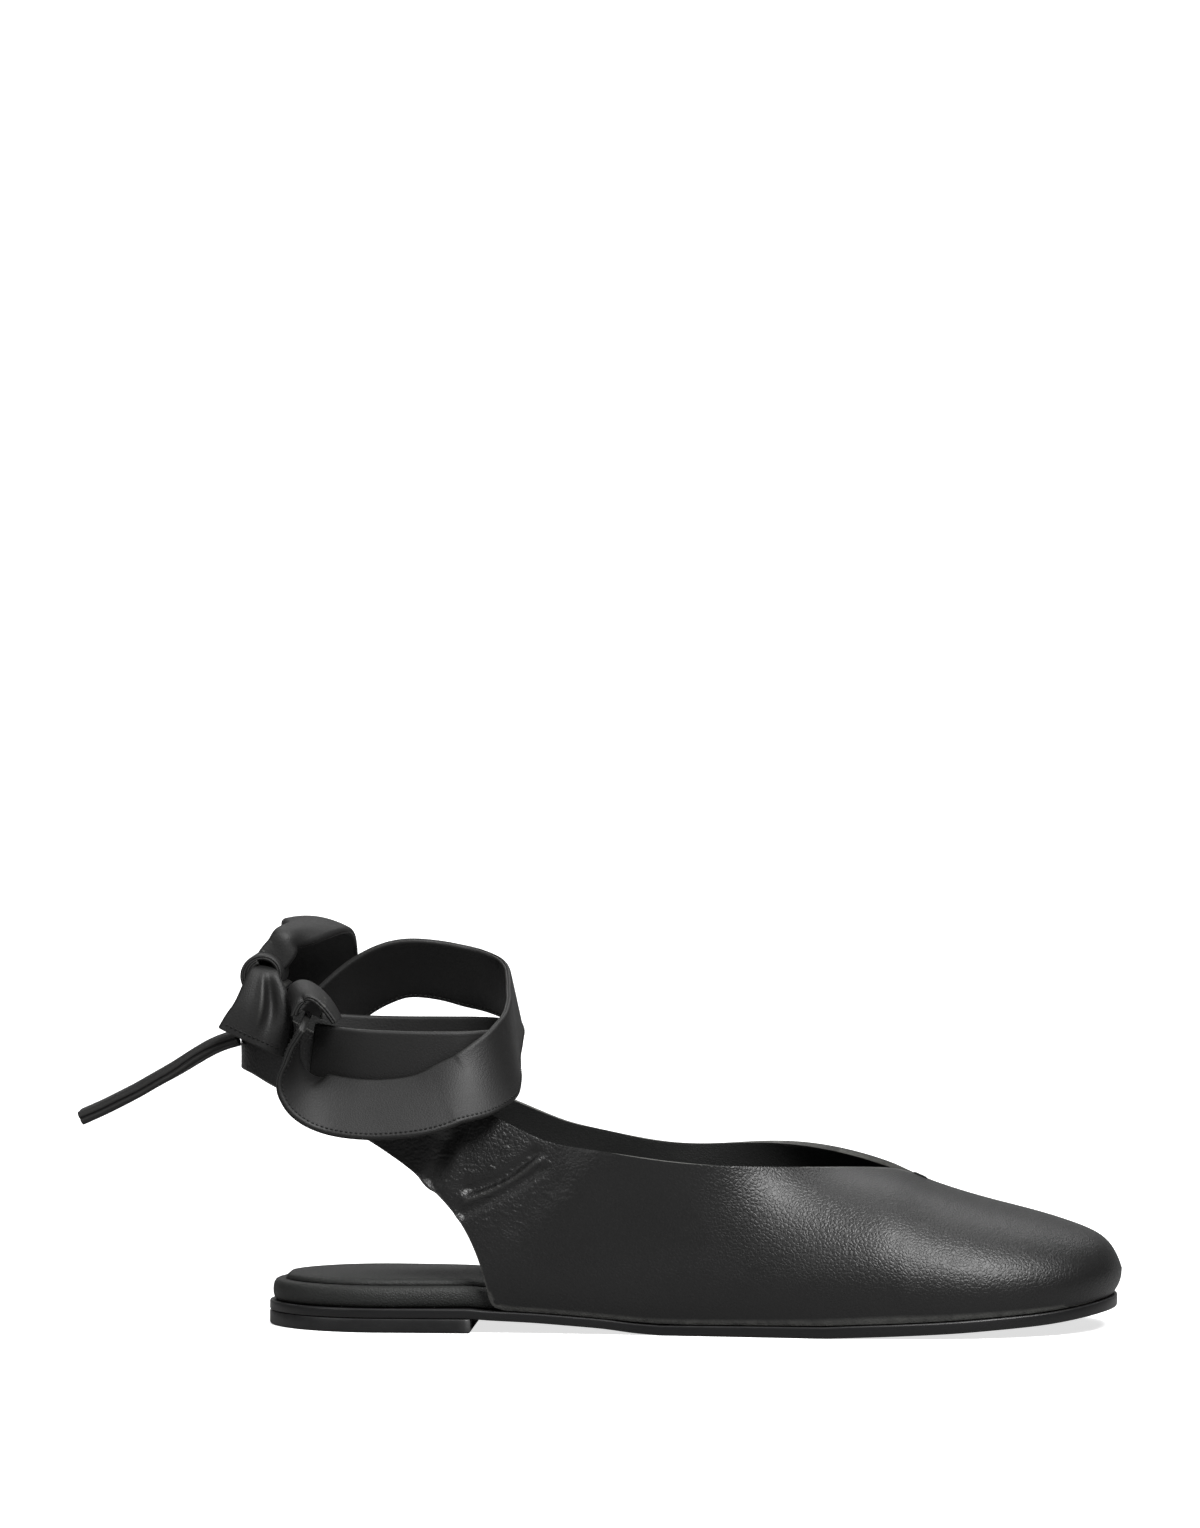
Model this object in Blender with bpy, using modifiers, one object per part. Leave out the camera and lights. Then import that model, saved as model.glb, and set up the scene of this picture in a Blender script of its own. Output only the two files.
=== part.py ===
# A black leather ballet flat for the right foot: open at the heel, with ties wound round the ankle.
# Metres, +Z up, toe to +X, inner side of the foot to +Y.
# The origin is the middle of the heel's floor face.
# Tables give lengths as shares of the named sizes, with X counted from the rear of the shoe.

import math

import bmesh
import bpy
import numpy as np

MM = 0.001

# Driving sizes
SHOE_LENGTH = 250.0 * MM
BALL_WIDTH = 80.5 * MM
THROAT_HEIGHT = 45.2 * MM
WALL = 1.6 * MM
CLEARANCE = 0.3 * MM

HEEL_LENGTH = 61.0 * MM
OUTSOLE_WAIST = 2.8 * MM
OUTSOLE_FOREPART = 3.5 * MM
ARCH_RISE = 4.3 * MM
TOE_SPRING = 6.2 * MM

FOOTBED_HEEL = 6.0 * MM
FOOTBED_FOREPART = 2.5 * MM
SOCK_THICKNESS = 1.9 * MM
SOCK_INSET = 3.5 * MM
FOOTBED_ROLL = 1.2 * MM
RIM_INSET = 1.0 * MM
TOE_TUCK = 4.0 * MM
BED_END = 0.955

FEATHER_INSET = 0.8 * MM
SIDE_BULGE = 1.6 * MM
BULGE_RISE = 7.0 * MM
RIDGE_SHIFT = 1.5 * MM

TIE_WIDTH = 21.0 * MM
TIE_THICKNESS = 2.0 * MM
ANKLE_LENGTH = 68.8 * MM
ANKLE_WIDTH = 58.0 * MM
ANKLE_HEIGHT = 85.0 * MM
KNOT_RADIUS = 7.5 * MM
KNOT_LENGTH = 22.0 * MM

# Sole outline: station, middle line over ball width, half width over ball width
SOLE_OUTLINE = (
    (0.00, 0.000, 0.376),
    (0.10, 0.000, 0.376),
    (0.20, -0.003, 0.376),
    (0.30, -0.022, 0.357),
    (0.40, -0.043, 0.348),
    (0.50, -0.050, 0.373),
    (0.60, -0.027, 0.437),
    (0.68, -0.009, 0.488),
    (0.75, -0.003, 0.500),
    (0.82, 0.006, 0.494),
    (0.90, 0.030, 0.488),
    (1.00, 0.050, 0.484),
)
HEEL_CURVE = (0.14, 2.0)
TOE_CURVE = (0.20, 2.3)

# Underside of the outsole forward of the heel: station, rise over arch rise
ARCH = (
    (0.245, 1.00),
    (0.260, 0.91),
    (0.320, 0.74),
    (0.360, 0.58),
    (0.400, 0.40),
    (0.440, 0.12),
    (0.470, 0.00),
)
# Underside at the toe: station, rise over toe spring
TOE_RISE = (
    (0.660, 0.00),
    (0.740, 0.13),
    (0.800, 0.24),
    (0.856, 0.39),
    (0.920, 0.58),
    (1.000, 1.00),
)

# Middle line of the vamp, throat to tip: station, height over throat height
VAMP_PROFILE = (
    (0.754, 1.000),
    (0.787, 0.920),
    (0.822, 0.861),
    (0.857, 0.806),
    (0.892, 0.760),
    (0.928, 0.699),
    (0.951, 0.653),
    (0.974, 0.600),
    (0.986, 0.546),
    (0.993, 0.479),
    (0.997, 0.420),
)
TIP = (1.000, 0.345)

# Quarter where it meets the sole: lower station, topline station, topline half width over
# ball width, topline height over throat height, inner side's extra height over throat height,
# height of the section's shoulder as a share of its rise
SIDE = (
    (0.270, 0.396, 0.368, 1.190, 0.020, 0.52),
    (0.320, 0.434, 0.372, 1.150, 0.010, 0.53),
    (0.385, 0.478, 0.372, 1.118, 0.015, 0.54),
    (0.460, 0.520, 0.368, 1.100, 0.030, 0.56),
    (0.540, 0.568, 0.346, 1.085, 0.065, 0.62),
    (0.612, 0.622, 0.276, 1.072, 0.088, 0.72),
    (0.668, 0.674, 0.186, 1.058, 0.062, 0.82),
    (0.714, 0.716, 0.100, 1.044, 0.025, 0.92),
    (0.740, 0.741, 0.038, 1.025, 0.005, 0.97),
)
# Back edge of the quarter and its strap, from behind the heel to the sole: lower point as
# station, half width over ball width and height over ankle height, then the top point alike,
# and the inner side's extra height over ankle height
BACK = (
    (-0.0344, 0.000, 0.916, -0.0344, 0.000, 1.135, 0.000),
    (-0.0296, 0.070, 0.911, -0.0296, 0.070, 1.130, 0.000),
    (-0.0160, 0.130, 0.897, -0.0168, 0.128, 1.122, 0.000),
    (0.0060, 0.192, 0.855, 0.0120, 0.202, 1.090, 0.000),
    (0.0380, 0.255, 0.795, 0.0520, 0.272, 1.030, 0.000),
    (0.0800, 0.310, 0.725, 0.1060, 0.331, 0.955, 0.000),
    (0.1212, 0.345, 0.665, 0.1680, 0.352, 0.880, 0.000),
    (0.1500, 0.362, 0.612, 0.2120, 0.342, 0.826, 0.005),
    (0.1770, 0.374, 0.556, 0.2480, 0.328, 0.775, 0.014),
    (0.2070, 0.380, 0.474, 0.2820, 0.336, 0.727, 0.022),
    (0.2300, 0.384, 0.396, 0.3120, 0.346, 0.682, 0.028),
    (0.2480, 0.386, 0.300, 0.3380, 0.356, 0.655, 0.024),
    (0.2610, 0.386, 0.190, 0.3620, 0.362, 0.640, 0.018),
)
BACK_SHOULDER = 0.50
CONIC_WEIGHT = 0.90

# Plan of the ankle's outer face, back to front: station over ankle length, half width over
# ankle width
ANKLE_PLAN = (
    (-0.118, 0.000),
    (-0.103, 0.086),
    (-0.076, 0.155),
    (0.000, 0.255),
    (0.110, 0.353),
    (0.248, 0.434),
    (0.413, 0.486),
    (0.620, 0.500),
    (0.758, 0.493),
    (0.854, 0.474),
    (0.937, 0.404),
    (0.981, 0.290),
    (0.997, 0.138),
    (1.000, 0.000),
)

# Rings of the ties: place along the ankle's plan, height over ankle height, outward lean and
# swing in degrees, extra spread over tie width
LOW_RING = (
    (0.184, 0.935, 4.0, 0.0, 0.00),
    (0.225, 0.918, 3.0, 0.0, 0.00),
    (0.300, 0.912, 2.0, 0.0, 0.00),
    (0.400, 0.912, 0.0, 0.0, 0.00),
    (0.500, 0.915, 0.0, 0.0, 0.00),
    (0.600, 0.915, 0.0, 0.0, 0.00),
    (0.710, 0.912, 2.0, 0.0, 0.00),
    (0.790, 0.916, 3.0, 0.0, 0.00),
    (0.850, 0.930, 4.0, 0.0, 0.00),
)
HIGH_RING = (
    (0.173, 1.070, -78.0, 18.0, 0.38),
    (0.163, 1.015, -78.0, 18.0, 0.38),
    (0.156, 0.950, -74.0, 18.0, 0.38),
    (0.158, 0.885, -64.0, 16.0, 0.38),
    (0.173, 0.822, -52.0, 8.0, 0.40),
    (0.200, 0.782, -43.0, 0.0, 0.39),
    (0.234, 0.766, -40.0, 0.0, 0.36),
    (0.268, 0.771, -39.0, 0.0, 0.33),
    (0.306, 0.790, -38.0, 0.0, 0.31),
    (0.343, 0.830, -33.0, 0.0, 0.26),
    (0.374, 0.872, -26.0, 0.0, 0.19),
    (0.406, 0.922, -16.0, 0.0, 0.12),
    (0.450, 0.980, -8.0, 0.0, 0.05),
    (0.505, 1.032, -7.0, 0.0, 0.01),
    (0.571, 1.078, -12.0, 0.0, 0.00),
    (0.635, 1.137, -24.0, 0.0, 0.00),
    (0.710, 1.200, -31.0, 0.0, 0.00),
    (0.760, 1.172, -30.0, 0.0, 0.00),
    (0.810, 1.090, -27.0, 0.0, 0.06),
    (0.850, 0.990, -22.0, 0.0, 0.12),
)

# Pieces of the bow, in tie widths from the knot's middle: place, then direction of the width,
# then width over tie width
LOOP = (
    (0.205, -0.06, 0.325, 0.82, 0.00, -0.57, 0.50),
    (0.30, -0.02, 0.45, 0.82, 0.00, -0.57, 0.46),
    (0.39, 0.10, 0.53, 0.86, 0.05, -0.50, 0.46),
    (0.52, 0.36, 0.63, 0.95, 0.10, -0.26, 0.66),
    (0.62, 0.78, 0.71, 0.98, 0.02, -0.16, 0.94),
    (0.64, 1.24, 0.63, 0.99, 0.00, -0.12, 1.00),
    (0.63, 1.66, 0.39, 1.00, 0.00, -0.06, 1.00),
    (0.62, 1.94, 0.01, 1.00, 0.00, 0.00, 1.00),
    (0.61, 2.03, -0.36, 1.00, 0.00, 0.00, 1.00),
)
END = (
    (0.02, -0.66, -0.14, 0.98, 0.08, -0.20, 0.55),
    (0.02, -0.74, -0.40, 0.95, 0.04, -0.30, 0.72),
    (-0.03, -0.78, -0.65, 0.90, 0.00, -0.42, 0.88),
    (-0.14, -0.79, -0.91, 0.82, 0.00, -0.57, 0.94),
)
FOLD = (
    (0.50, -1.12, -0.49, -0.05, 0.97, 0.22, 0.82),
    (0.52, -1.11, -0.27, -0.20, 0.92, 0.34, 0.84),
    (0.64, -1.10, -0.18, -0.15, 0.96, 0.22, 0.86),
    (0.81, -1.10, -0.24, -0.04, 0.99, 0.12, 0.84),
    (0.97, -1.10, -0.41, 0.00, 1.00, 0.06, 0.82),
    (1.07, -1.10, -0.57, 0.00, 1.00, 0.00, 0.80),
)
TAIL = (
    (-0.405, -0.12, -0.90, 0.10, 0.96, 0.20, 0.46),
    (-0.75, -0.12, -1.02, 0.10, 0.96, 0.20, 0.50),
    (-1.20, -0.10, -1.30, 0.08, 0.97, 0.20, 0.52),
    (-1.60, -0.08, -1.52, 0.06, 0.98, 0.16, 0.52),
    (-2.02, -0.05, -1.76, 0.04, 0.98, 0.12, 0.50),
    (-2.57, 0.00, -2.02, 0.00, 1.00, 0.05, 0.46),
)
KNOT_PLACE = (-0.5 * MM, -5.0 * MM, 1.212 * ANKLE_HEIGHT)
TAIL_THICKNESS = 4.6 * MM
KNOT_DIMPLE = 0.12

LEATHER = (0.012, 0.012, 0.012)
LINING = (0.035, 0.036, 0.033)
SOLE_BLACK = (0.008, 0.008, 0.009)


def clear_scene():
    for item in list(bpy.data.objects):
        bpy.data.objects.remove(item)


def material(name, colour, roughness):
    made = bpy.data.materials.new(name)
    made.use_nodes = True
    shader = made.node_tree.nodes["Principled BSDF"]
    shader.inputs["Base Color"].default_value = (*colour, 1.0)
    shader.inputs["Roughness"].default_value = roughness
    shader.inputs["Metallic"].default_value = 0.0
    return made


def smooth(table, place):
    """Monotone cubic through a table's rows: first column the place, the others the values."""
    rows = np.array(table, dtype=float)
    at, values = rows[:, 0], rows[:, 1:]
    place = np.clip(np.asarray(place, dtype=float), at[0], at[-1])
    gap = np.diff(at)[:, None]
    slope = np.diff(values, axis=0) / gap
    tangent = np.zeros_like(values)
    tangent[0], tangent[-1] = slope[0], slope[-1]
    agree = slope[:-1] * slope[1:] > 0
    total = np.where(agree, slope[:-1] + slope[1:], 1.0)
    tangent[1:-1] = np.where(agree, 2.0 * slope[:-1] * slope[1:] / total, 0.0)
    cell = np.clip(np.searchsorted(at, place, side="right") - 1, 0, len(at) - 2)
    step = gap[cell]
    t = (place - at[cell])[..., None] / step
    return (
        values[cell] * (2 * t**3 - 3 * t**2 + 1)
        + values[cell + 1] * (3 * t**2 - 2 * t**3)
        + tangent[cell] * step * (t**3 - 2 * t**2 + t)
        + tangent[cell + 1] * step * (t**3 - t**2)
    )


def flowing(rows, place):
    """Catmull-Rom curve through rows, place running from 0 to 1 over the whole table."""
    rows = np.asarray(rows, dtype=float)
    padded = np.vstack((2 * rows[0] - rows[1], rows, 2 * rows[-1] - rows[-2]))
    spot = np.clip(np.asarray(place, dtype=float), 0, 1) * (len(rows) - 1)
    cell = np.minimum(spot.astype(int), len(rows) - 2)
    t = (spot - cell)[:, None]
    before, start, end, after = (padded[cell + k] for k in range(4))
    return 0.5 * (
        2 * start
        + (end - before) * t
        + (2 * before - 5 * start + 4 * end - after) * t**2
        + (3 * start - before - 3 * end + after) * t**3
    )


def rounding(station):
    """Share of the half width left by the superellipse ends at heel and toe."""
    heel_reach, heel_power = HEEL_CURVE
    toe_reach, toe_power = TOE_CURVE
    heel = np.clip((heel_reach - station) / heel_reach, 0, 1)
    toe = np.clip((station - 1 + toe_reach) / toe_reach, 0, 1)
    return (1 - heel**heel_power) ** (1 / heel_power) * (1 - toe**toe_power) ** (1 / toe_power)


def outline(station):
    """Middle line and half width of the sole at each station."""
    middle, half = smooth(SOLE_OUTLINE, station).T
    return middle * BALL_WIDTH, half * BALL_WIDTH * rounding(station)


def underside(station):
    station = np.asarray(station, dtype=float)
    arch = smooth(ARCH, station)[:, 0] * ARCH_RISE
    toe = smooth(TOE_RISE, station)[:, 0] * TOE_SPRING
    return np.maximum(arch, toe)


def outsole_top(station):
    share = np.clip((station - 0.40) / 0.30, 0, 1)
    return underside(station) + OUTSOLE_WAIST + (OUTSOLE_FOREPART - OUTSOLE_WAIST) * share


def footbed_top(station):
    share = np.clip((np.asarray(station) - 0.22) / 0.40, 0, 1)
    share = share * share * (3 - 2 * share)
    return outsole_top(station) + CLEARANCE + FOOTBED_HEEL + (FOOTBED_FOREPART - FOOTBED_HEEL) * share


def bed_clearance(station):
    """Inset of the footbed's bulging rim: bare at the heel, inside the upper's wall further on."""
    station = np.asarray(station)
    inside = WALL + FEATHER_INSET + 2 * CLEARANCE
    toe = np.clip((station - 0.78) / 0.15, 0, 1) ** 2 * TOE_TUCK
    return RIM_INSET + np.clip((station - 0.15) / 0.09, 0, 1) * (inside - RIM_INSET) + toe


def end_spaced(count, start=0.0, stop=1.0):
    """Stations closer together towards both ends."""
    return start + (stop - start) * (1 - np.cos(np.linspace(0, math.pi, count))) / 2


def mesh_object(name, points, faces, look):
    mesh = bpy.data.meshes.new(name)
    mesh.from_pydata([tuple(p) for p in points], [], faces)
    body = bmesh.new()
    body.from_mesh(mesh)
    bmesh.ops.remove_doubles(body, verts=body.verts, dist=1e-6)
    bmesh.ops.dissolve_degenerate(body, dist=1e-7, edges=body.edges)
    bmesh.ops.recalc_face_normals(body, faces=body.faces)
    body.to_mesh(mesh)
    body.free()
    mesh.shade_smooth()
    mesh.set_sharp_from_angle(angle=math.radians(40))
    mesh.materials.append(look)
    made = bpy.data.objects.new(name, mesh)
    return made


def loft(name, rings, look):
    """Closed solid through rings of equal length, its first and last ring capped."""
    count, around = rings.shape[:2]
    faces = []
    for i in range(count - 1):
        for j in range(around):
            k = (j + 1) % around
            faces.append((i * around + j, i * around + k, (i + 1) * around + k, (i + 1) * around + j))
    for start in (0, (count - 1) * around):
        if np.ptp(rings.reshape(-1, 3)[start:start + around, :], axis=0)[1:].min() > 1e-6:
            faces.append(tuple(range(start, start + around)))
    return mesh_object(name, rings.reshape(-1, 3), faces, look)


def slab(name, stations, inset, bottom, top, look, crown=0.0, roll=0.0):
    """Plate with the sole's outline: inset, bottom and top are given at each station."""
    middle, half = outline(stations)
    half = np.maximum(half - inset, 0.0)
    across = np.sin(np.linspace(-math.pi / 2, math.pi / 2, 7))
    x = np.repeat((stations * SHOE_LENGTH)[:, None], 7, axis=1)
    lid = top[:, None] + crown * (1 - across**2)
    over = np.stack((x, middle[:, None] + half[:, None] * across, lid), axis=2)
    under = np.stack((x, middle[:, None] + half[:, None] * across[::-1], bottom[:, None] + 0 * lid), axis=2)
    if roll:
        swell = roll * np.minimum(half / roll, 1.0)
        depth = (top + bottom) / 2
        left = np.stack((x[:, 0], middle - half - swell, depth), axis=1)[:, None]
        right = np.stack((x[:, 0], middle + half + swell, depth), axis=1)[:, None]
        rings = np.concatenate((over, right, under, left), axis=1)
    else:
        rings = np.concatenate((over, under), axis=1)
    return loft(name, rings, look)


def sole_edge(stations, side):
    """Plan points of the sole's edge on one side, with their outward plan normals."""
    middle, half = outline(stations)
    x = stations * (SHOE_LENGTH - SIDE_BULGE)
    y = middle + side * half
    along = np.stack((np.gradient(x), np.gradient(y)), axis=1)
    normal = np.stack((-along[:, 1], along[:, 0]), axis=1) * side
    normal[stations > 0.9999] = (1.0, 0.0)
    normal /= np.linalg.norm(normal, axis=1)[:, None]
    return np.stack((x, y), axis=1), normal


def quarter_columns(side, back_count, side_count, vamp_count):
    """Lower, shoulder and top points of the upper's columns, heel's back to toe, on one side."""
    extra = 1.0 if side > 0 else 0.0
    # Columns that stand on the sole, beside the opening and then under the vamp
    index = np.arange(len(SIDE))
    table = np.column_stack((index, SIDE))
    low_at, top_at, top_half, top_high, inner, shoulder = smooth(
        table, np.linspace(0, index[-1], side_count)).T
    vamp_at = end_spaced(vamp_count * 2, 2 * VAMP_PROFILE[0][0] - 1.0, 1.0)[vamp_count:]
    vamp_at = np.concatenate(([VAMP_PROFILE[0][0]], vamp_at))
    height = smooth(VAMP_PROFILE + (TIP,), vamp_at)[:, 0]
    low_at = np.concatenate((low_at, vamp_at))
    top_at = np.concatenate((top_at, vamp_at))
    top_half = np.concatenate((top_half, np.zeros(len(vamp_at)))) * BALL_WIDTH
    top_z = np.concatenate((top_high + inner * extra, height)) * THROAT_HEIGHT
    shoulder = np.concatenate((shoulder, np.ones(len(vamp_at))))
    edge, normal = sole_edge(low_at, side)
    base = edge + normal * SIDE_BULGE
    low_z = outsole_top(low_at) + CLEARANCE
    low = np.column_stack((base, low_z))
    ridge = RIDGE_SHIFT * np.sin(math.pi * np.clip((top_at - 0.5) / 0.5, 0, 1))
    top = np.column_stack((top_at * SHOE_LENGTH, outline(top_at)[0] + ridge + side * top_half, top_z))
    corner = low + (top - low) * shoulder[:, None]
    corner[:, 1] = low[:, 1]
    under_vamp = low_at >= VAMP_PROFILE[0][0]
    corner[under_vamp, 0] = base[under_vamp, 0]
    # Columns of the strap and of the quarter's free back edge
    rows = np.array(BACK)
    share = 1.0 - np.clip(rows[:, 2], 0, 1)
    middle = outline(np.maximum(rows[:, 0], 0.2))[0] * share
    back_low = np.column_stack((
        rows[:, 0] * SHOE_LENGTH, middle + side * rows[:, 1] * BALL_WIDTH, rows[:, 2] * ANKLE_HEIGHT))
    back_top = np.column_stack((
        rows[:, 3] * SHOE_LENGTH, side * rows[:, 4] * BALL_WIDTH,
        (rows[:, 5] + rows[:, 6] * extra) * ANKLE_HEIGHT))
    spread = np.clip((np.arange(len(rows)) - 6) / 6, 0, 1)
    back_corner = back_low + (back_top - back_low) * BACK_SHOULDER
    back_corner[:, 1] += (back_low[:, 1] - back_corner[:, 1]) * spread
    packed = np.hstack((
        np.vstack((back_low, low[:1])), np.vstack((back_corner, corner[:1])), np.vstack((back_top, top[:1]))))
    strap = flowing(packed, np.linspace(0, 1, back_count))[:-1]
    strap_normal = np.tile((0.0, float(side)), (len(strap), 1))
    tuck = np.zeros(len(strap))
    last = back_count / len(BACK)
    tuck[:] = np.clip((np.arange(len(strap)) - (len(strap) - last)) / last, 0, 1)
    return (
        np.vstack((strap[:, 0:3], low)),
        np.vstack((strap[:, 3:6], corner)),
        np.vstack((strap[:, 6:9], top)),
        np.vstack((strap_normal, normal)),
        np.concatenate((tuck, np.ones(len(low)))),
    )


def upper_sheet(side, back_count, side_count, vamp_count, rise_count):
    """Outer face of one half of the upper: columns from the heel's back to the toe, each a conic
    from the feather line to the topline or to the vamp's ridge, tucked in over the sole's edge."""
    low, corner, top, normal, tuck = quarter_columns(side, back_count, side_count, vamp_count)
    f = np.linspace(0, 1, rise_count)[None, :, None]
    weights = (1 - f) ** 2, 2 * f * (1 - f) * CONIC_WEIGHT, f**2
    sheet = sum(w * p[:, None] for w, p in zip(weights, (low, corner, top))) / sum(weights)
    drop = np.clip(1 - (sheet[:, :, 2] - low[:, None, 2]) / BULGE_RISE, 0, 1) ** 2.2
    drop = drop * tuck[:, None] * (SIDE_BULGE + FEATHER_INSET)
    sheet[:, :, :2] -= normal[:, None] * drop[:, :, None]
    return sheet


def make_upper(look):
    """Both halves joined along the vamp's ridge, at the toe and behind the heel, as one wall."""
    points = []
    faces = []
    for side in (-1, 1):
        sheet = upper_sheet(side, 24, 14, 11, 9)
        columns, rises = sheet.shape[:2]
        start = len(points)
        points.extend(sheet.reshape(-1, 3))
        for i in range(columns - 1):
            for j in range(rises - 1):
                a = start + i * rises + j
                face = (a, a + rises, a + rises + 1, a + 1)
                faces.append(face if side < 0 else face[::-1])
    made = mesh_object("upper", points, faces, look)
    wall = made.modifiers.new("wall", "SOLIDIFY")
    wall.thickness = WALL
    wall.offset = -1.0
    wall.use_even_offset = True
    return made


def ankle_plan(place, spread):
    """Points and plan normals round the ankle, place being the share of its girth from behind
    the heel, first along the outer side of the foot."""
    rows = np.array(ANKLE_PLAN) * (ANKLE_LENGTH, -ANKLE_WIDTH)
    other = rows[-2:0:-1] * (1, -1)
    ring = np.vstack((rows, other, rows[:1]))
    dense = flowing(np.vstack((ring[-2], ring, ring[1])), np.linspace(0, 1, 30 * (len(ring) + 1) + 1))
    dense = dense[30:-30]
    girth = np.concatenate(([0.0], np.cumsum(np.linalg.norm(np.diff(dense, axis=0), axis=1))))
    girth /= girth[-1]
    along = np.gradient(dense, axis=0)
    normal = np.stack((along[:, 1], -along[:, 0]), axis=1)
    normal /= np.linalg.norm(normal, axis=1)[:, None]
    point = np.stack([np.interp(place, girth, dense[:, k]) for k in (0, 1)], axis=1)
    out = np.stack([np.interp(place, girth, normal[:, k]) for k in (0, 1)], axis=1)
    return point + out * np.asarray(spread)[:, None], out


def band(name, centre, across, width, thickness, look):
    """Leather band swept along its centre points, its width towards across, its edges eased."""
    along = np.gradient(centre, axis=0)
    along /= np.linalg.norm(along, axis=1)[:, None]
    across = across - along * np.sum(across * along, axis=1)[:, None]
    across /= np.linalg.norm(across, axis=1)[:, None]
    face = np.cross(along, across)
    thick = np.asarray(thickness) / 2 * np.ones(len(centre))
    half = np.asarray(width) / 2 * np.ones(len(centre))
    ease = TIE_THICKNESS / 4
    corners = (
        (half - ease, thick), (-half + ease, thick), (-half, thick - ease), (-half, ease - thick),
        (-half + ease, -thick), (half - ease, -thick), (half, ease - thick), (half, thick - ease))
    rings = np.stack([centre + across * u[:, None] + face * v[:, None] for u, v in corners], axis=1)
    return loft(name, rings, look)


def make_ring(name, rows, layer, count, look):
    """Ring of the tie round the ankle, in the given layer outside the strap."""
    place, height, lean, swing, spread = smooth(
        np.column_stack((np.arange(len(rows)), rows)), np.linspace(0, len(rows) - 1, count)).T
    off = CLEARANCE + TIE_THICKNESS / 2 + layer * (TIE_THICKNESS + CLEARANCE) + spread * TIE_WIDTH
    plan, out = ankle_plan(place, off)
    centre = np.column_stack((plan, height * ANKLE_HEIGHT))
    round_way = np.column_stack((-out[:, 1], out[:, 0]))
    lean, swing = np.radians(lean), np.radians(swing)
    flat = out * np.cos(swing)[:, None] + round_way * np.sin(swing)[:, None]
    across = np.column_stack((flat * np.sin(lean)[:, None], np.cos(lean)))
    return band(name, centre, across, TIE_WIDTH, TIE_THICKNESS, look)


def make_bow_piece(name, rows, thickness, count, look):
    rows = np.array(rows)
    made = flowing(rows, np.linspace(0, 1, count))
    centre = made[:, 0:3] * TIE_WIDTH + np.array(KNOT_PLACE)
    return band(name, centre, made[:, 3:6], made[:, 6] * TIE_WIDTH, thickness, look)


def make_knot(look):
    """Tie wound round itself, seen from its end: a roll along Y with dished ends."""
    turn = np.linspace(0, 2 * math.pi, 20, endpoint=False)
    reach = np.array((0.0, 0.62, 0.80, 0.86, 0.96, 1.0, 1.0, 0.96, 0.86, 0.80, 0.62, 0.0))
    along = np.array((-0.5 + KNOT_DIMPLE, -0.5 + KNOT_DIMPLE, -0.5 + 0.5 * KNOT_DIMPLE, -0.5, -0.5, -0.46))
    along = np.concatenate((along, -along[::-1])) * KNOT_LENGTH
    ring = np.stack((np.cos(turn), 0 * turn, np.sin(turn)), axis=1) * KNOT_RADIUS
    rings = ring[None] * reach[:, None, None]
    rings[:, :, 1] += along[:, None]
    return loft("bow_knot", rings + np.array(KNOT_PLACE), look)


def main():
    clear_scene()
    leather = material("tie leather", LEATHER, 0.42)
    grained = material("upper leather", LEATHER, 0.48)
    lining = material("footbed leather", LINING, 0.6)
    black = material("sole edge", SOLE_BLACK, 0.35)
    whole = end_spaced(26)
    pieces = []
    # The outsole steps up over the heel block, so its rows are packed at the breast
    breast = HEEL_LENGTH / (SHOE_LENGTH - SIDE_BULGE)
    stations = np.unique(np.concatenate((end_spaced(25), [breast, breast + 0.012])))
    sole = slab("outsole", stations, 0.0, underside(stations), outsole_top(stations), black)
    pieces.append(sole)
    heel_at = end_spaced(24)
    heel_at = np.append(heel_at[heel_at < breast - 0.01], breast)
    flat = np.zeros(len(heel_at))
    pieces.append(slab("heel", heel_at, 0.0, flat, flat + ARCH_RISE - CLEARANCE, black))
    bed_at = whole[whole < BED_END]
    bed_inset = FOOTBED_ROLL + bed_clearance(bed_at)
    pieces.append(slab(
        "footbed", bed_at, bed_inset, outsole_top(bed_at) + CLEARANCE, footbed_top(bed_at),
        lining, roll=FOOTBED_ROLL))
    sock_at = bed_at[1:-1]
    sock_top = footbed_top(sock_at) + CLEARANCE + SOCK_THICKNESS
    pieces.append(slab(
        "sock_pad", sock_at, bed_inset[1:-1] + SOCK_INSET, footbed_top(sock_at) + CLEARANCE, sock_top,
        lining))
    pieces.append(make_upper(grained))
    pieces.append(make_ring("ankle_wrap_low", LOW_RING, 0, 36, leather))
    pieces.append(make_ring("ankle_wrap_high", HIGH_RING, 1, 48, leather))
    pieces.append(make_knot(leather))
    pieces.append(make_bow_piece("bow_loop", LOOP, TIE_THICKNESS, 18, leather))
    pieces.append(make_bow_piece("bow_end", END, TIE_THICKNESS, 10, leather))
    pieces.append(make_bow_piece("tie_fold", FOLD, TIE_THICKNESS, 10, leather))
    pieces.append(make_bow_piece("tie_tail", TAIL, TAIL_THICKNESS, 16, leather))
    # Everything is laid out from the rear of the shoe, and hung from the heel's middle
    frame = bpy.data.objects.new("shoe_frame", None)
    frame.location = (-HEEL_LENGTH / 2, 0.0, 0.0)
    group = bpy.data.collections.new("ballet_flat")
    bpy.context.scene.collection.children.link(group)
    group.objects.link(frame)
    for piece in pieces:
        piece.parent = frame
        group.objects.link(piece)


main()
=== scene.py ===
import math

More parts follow.
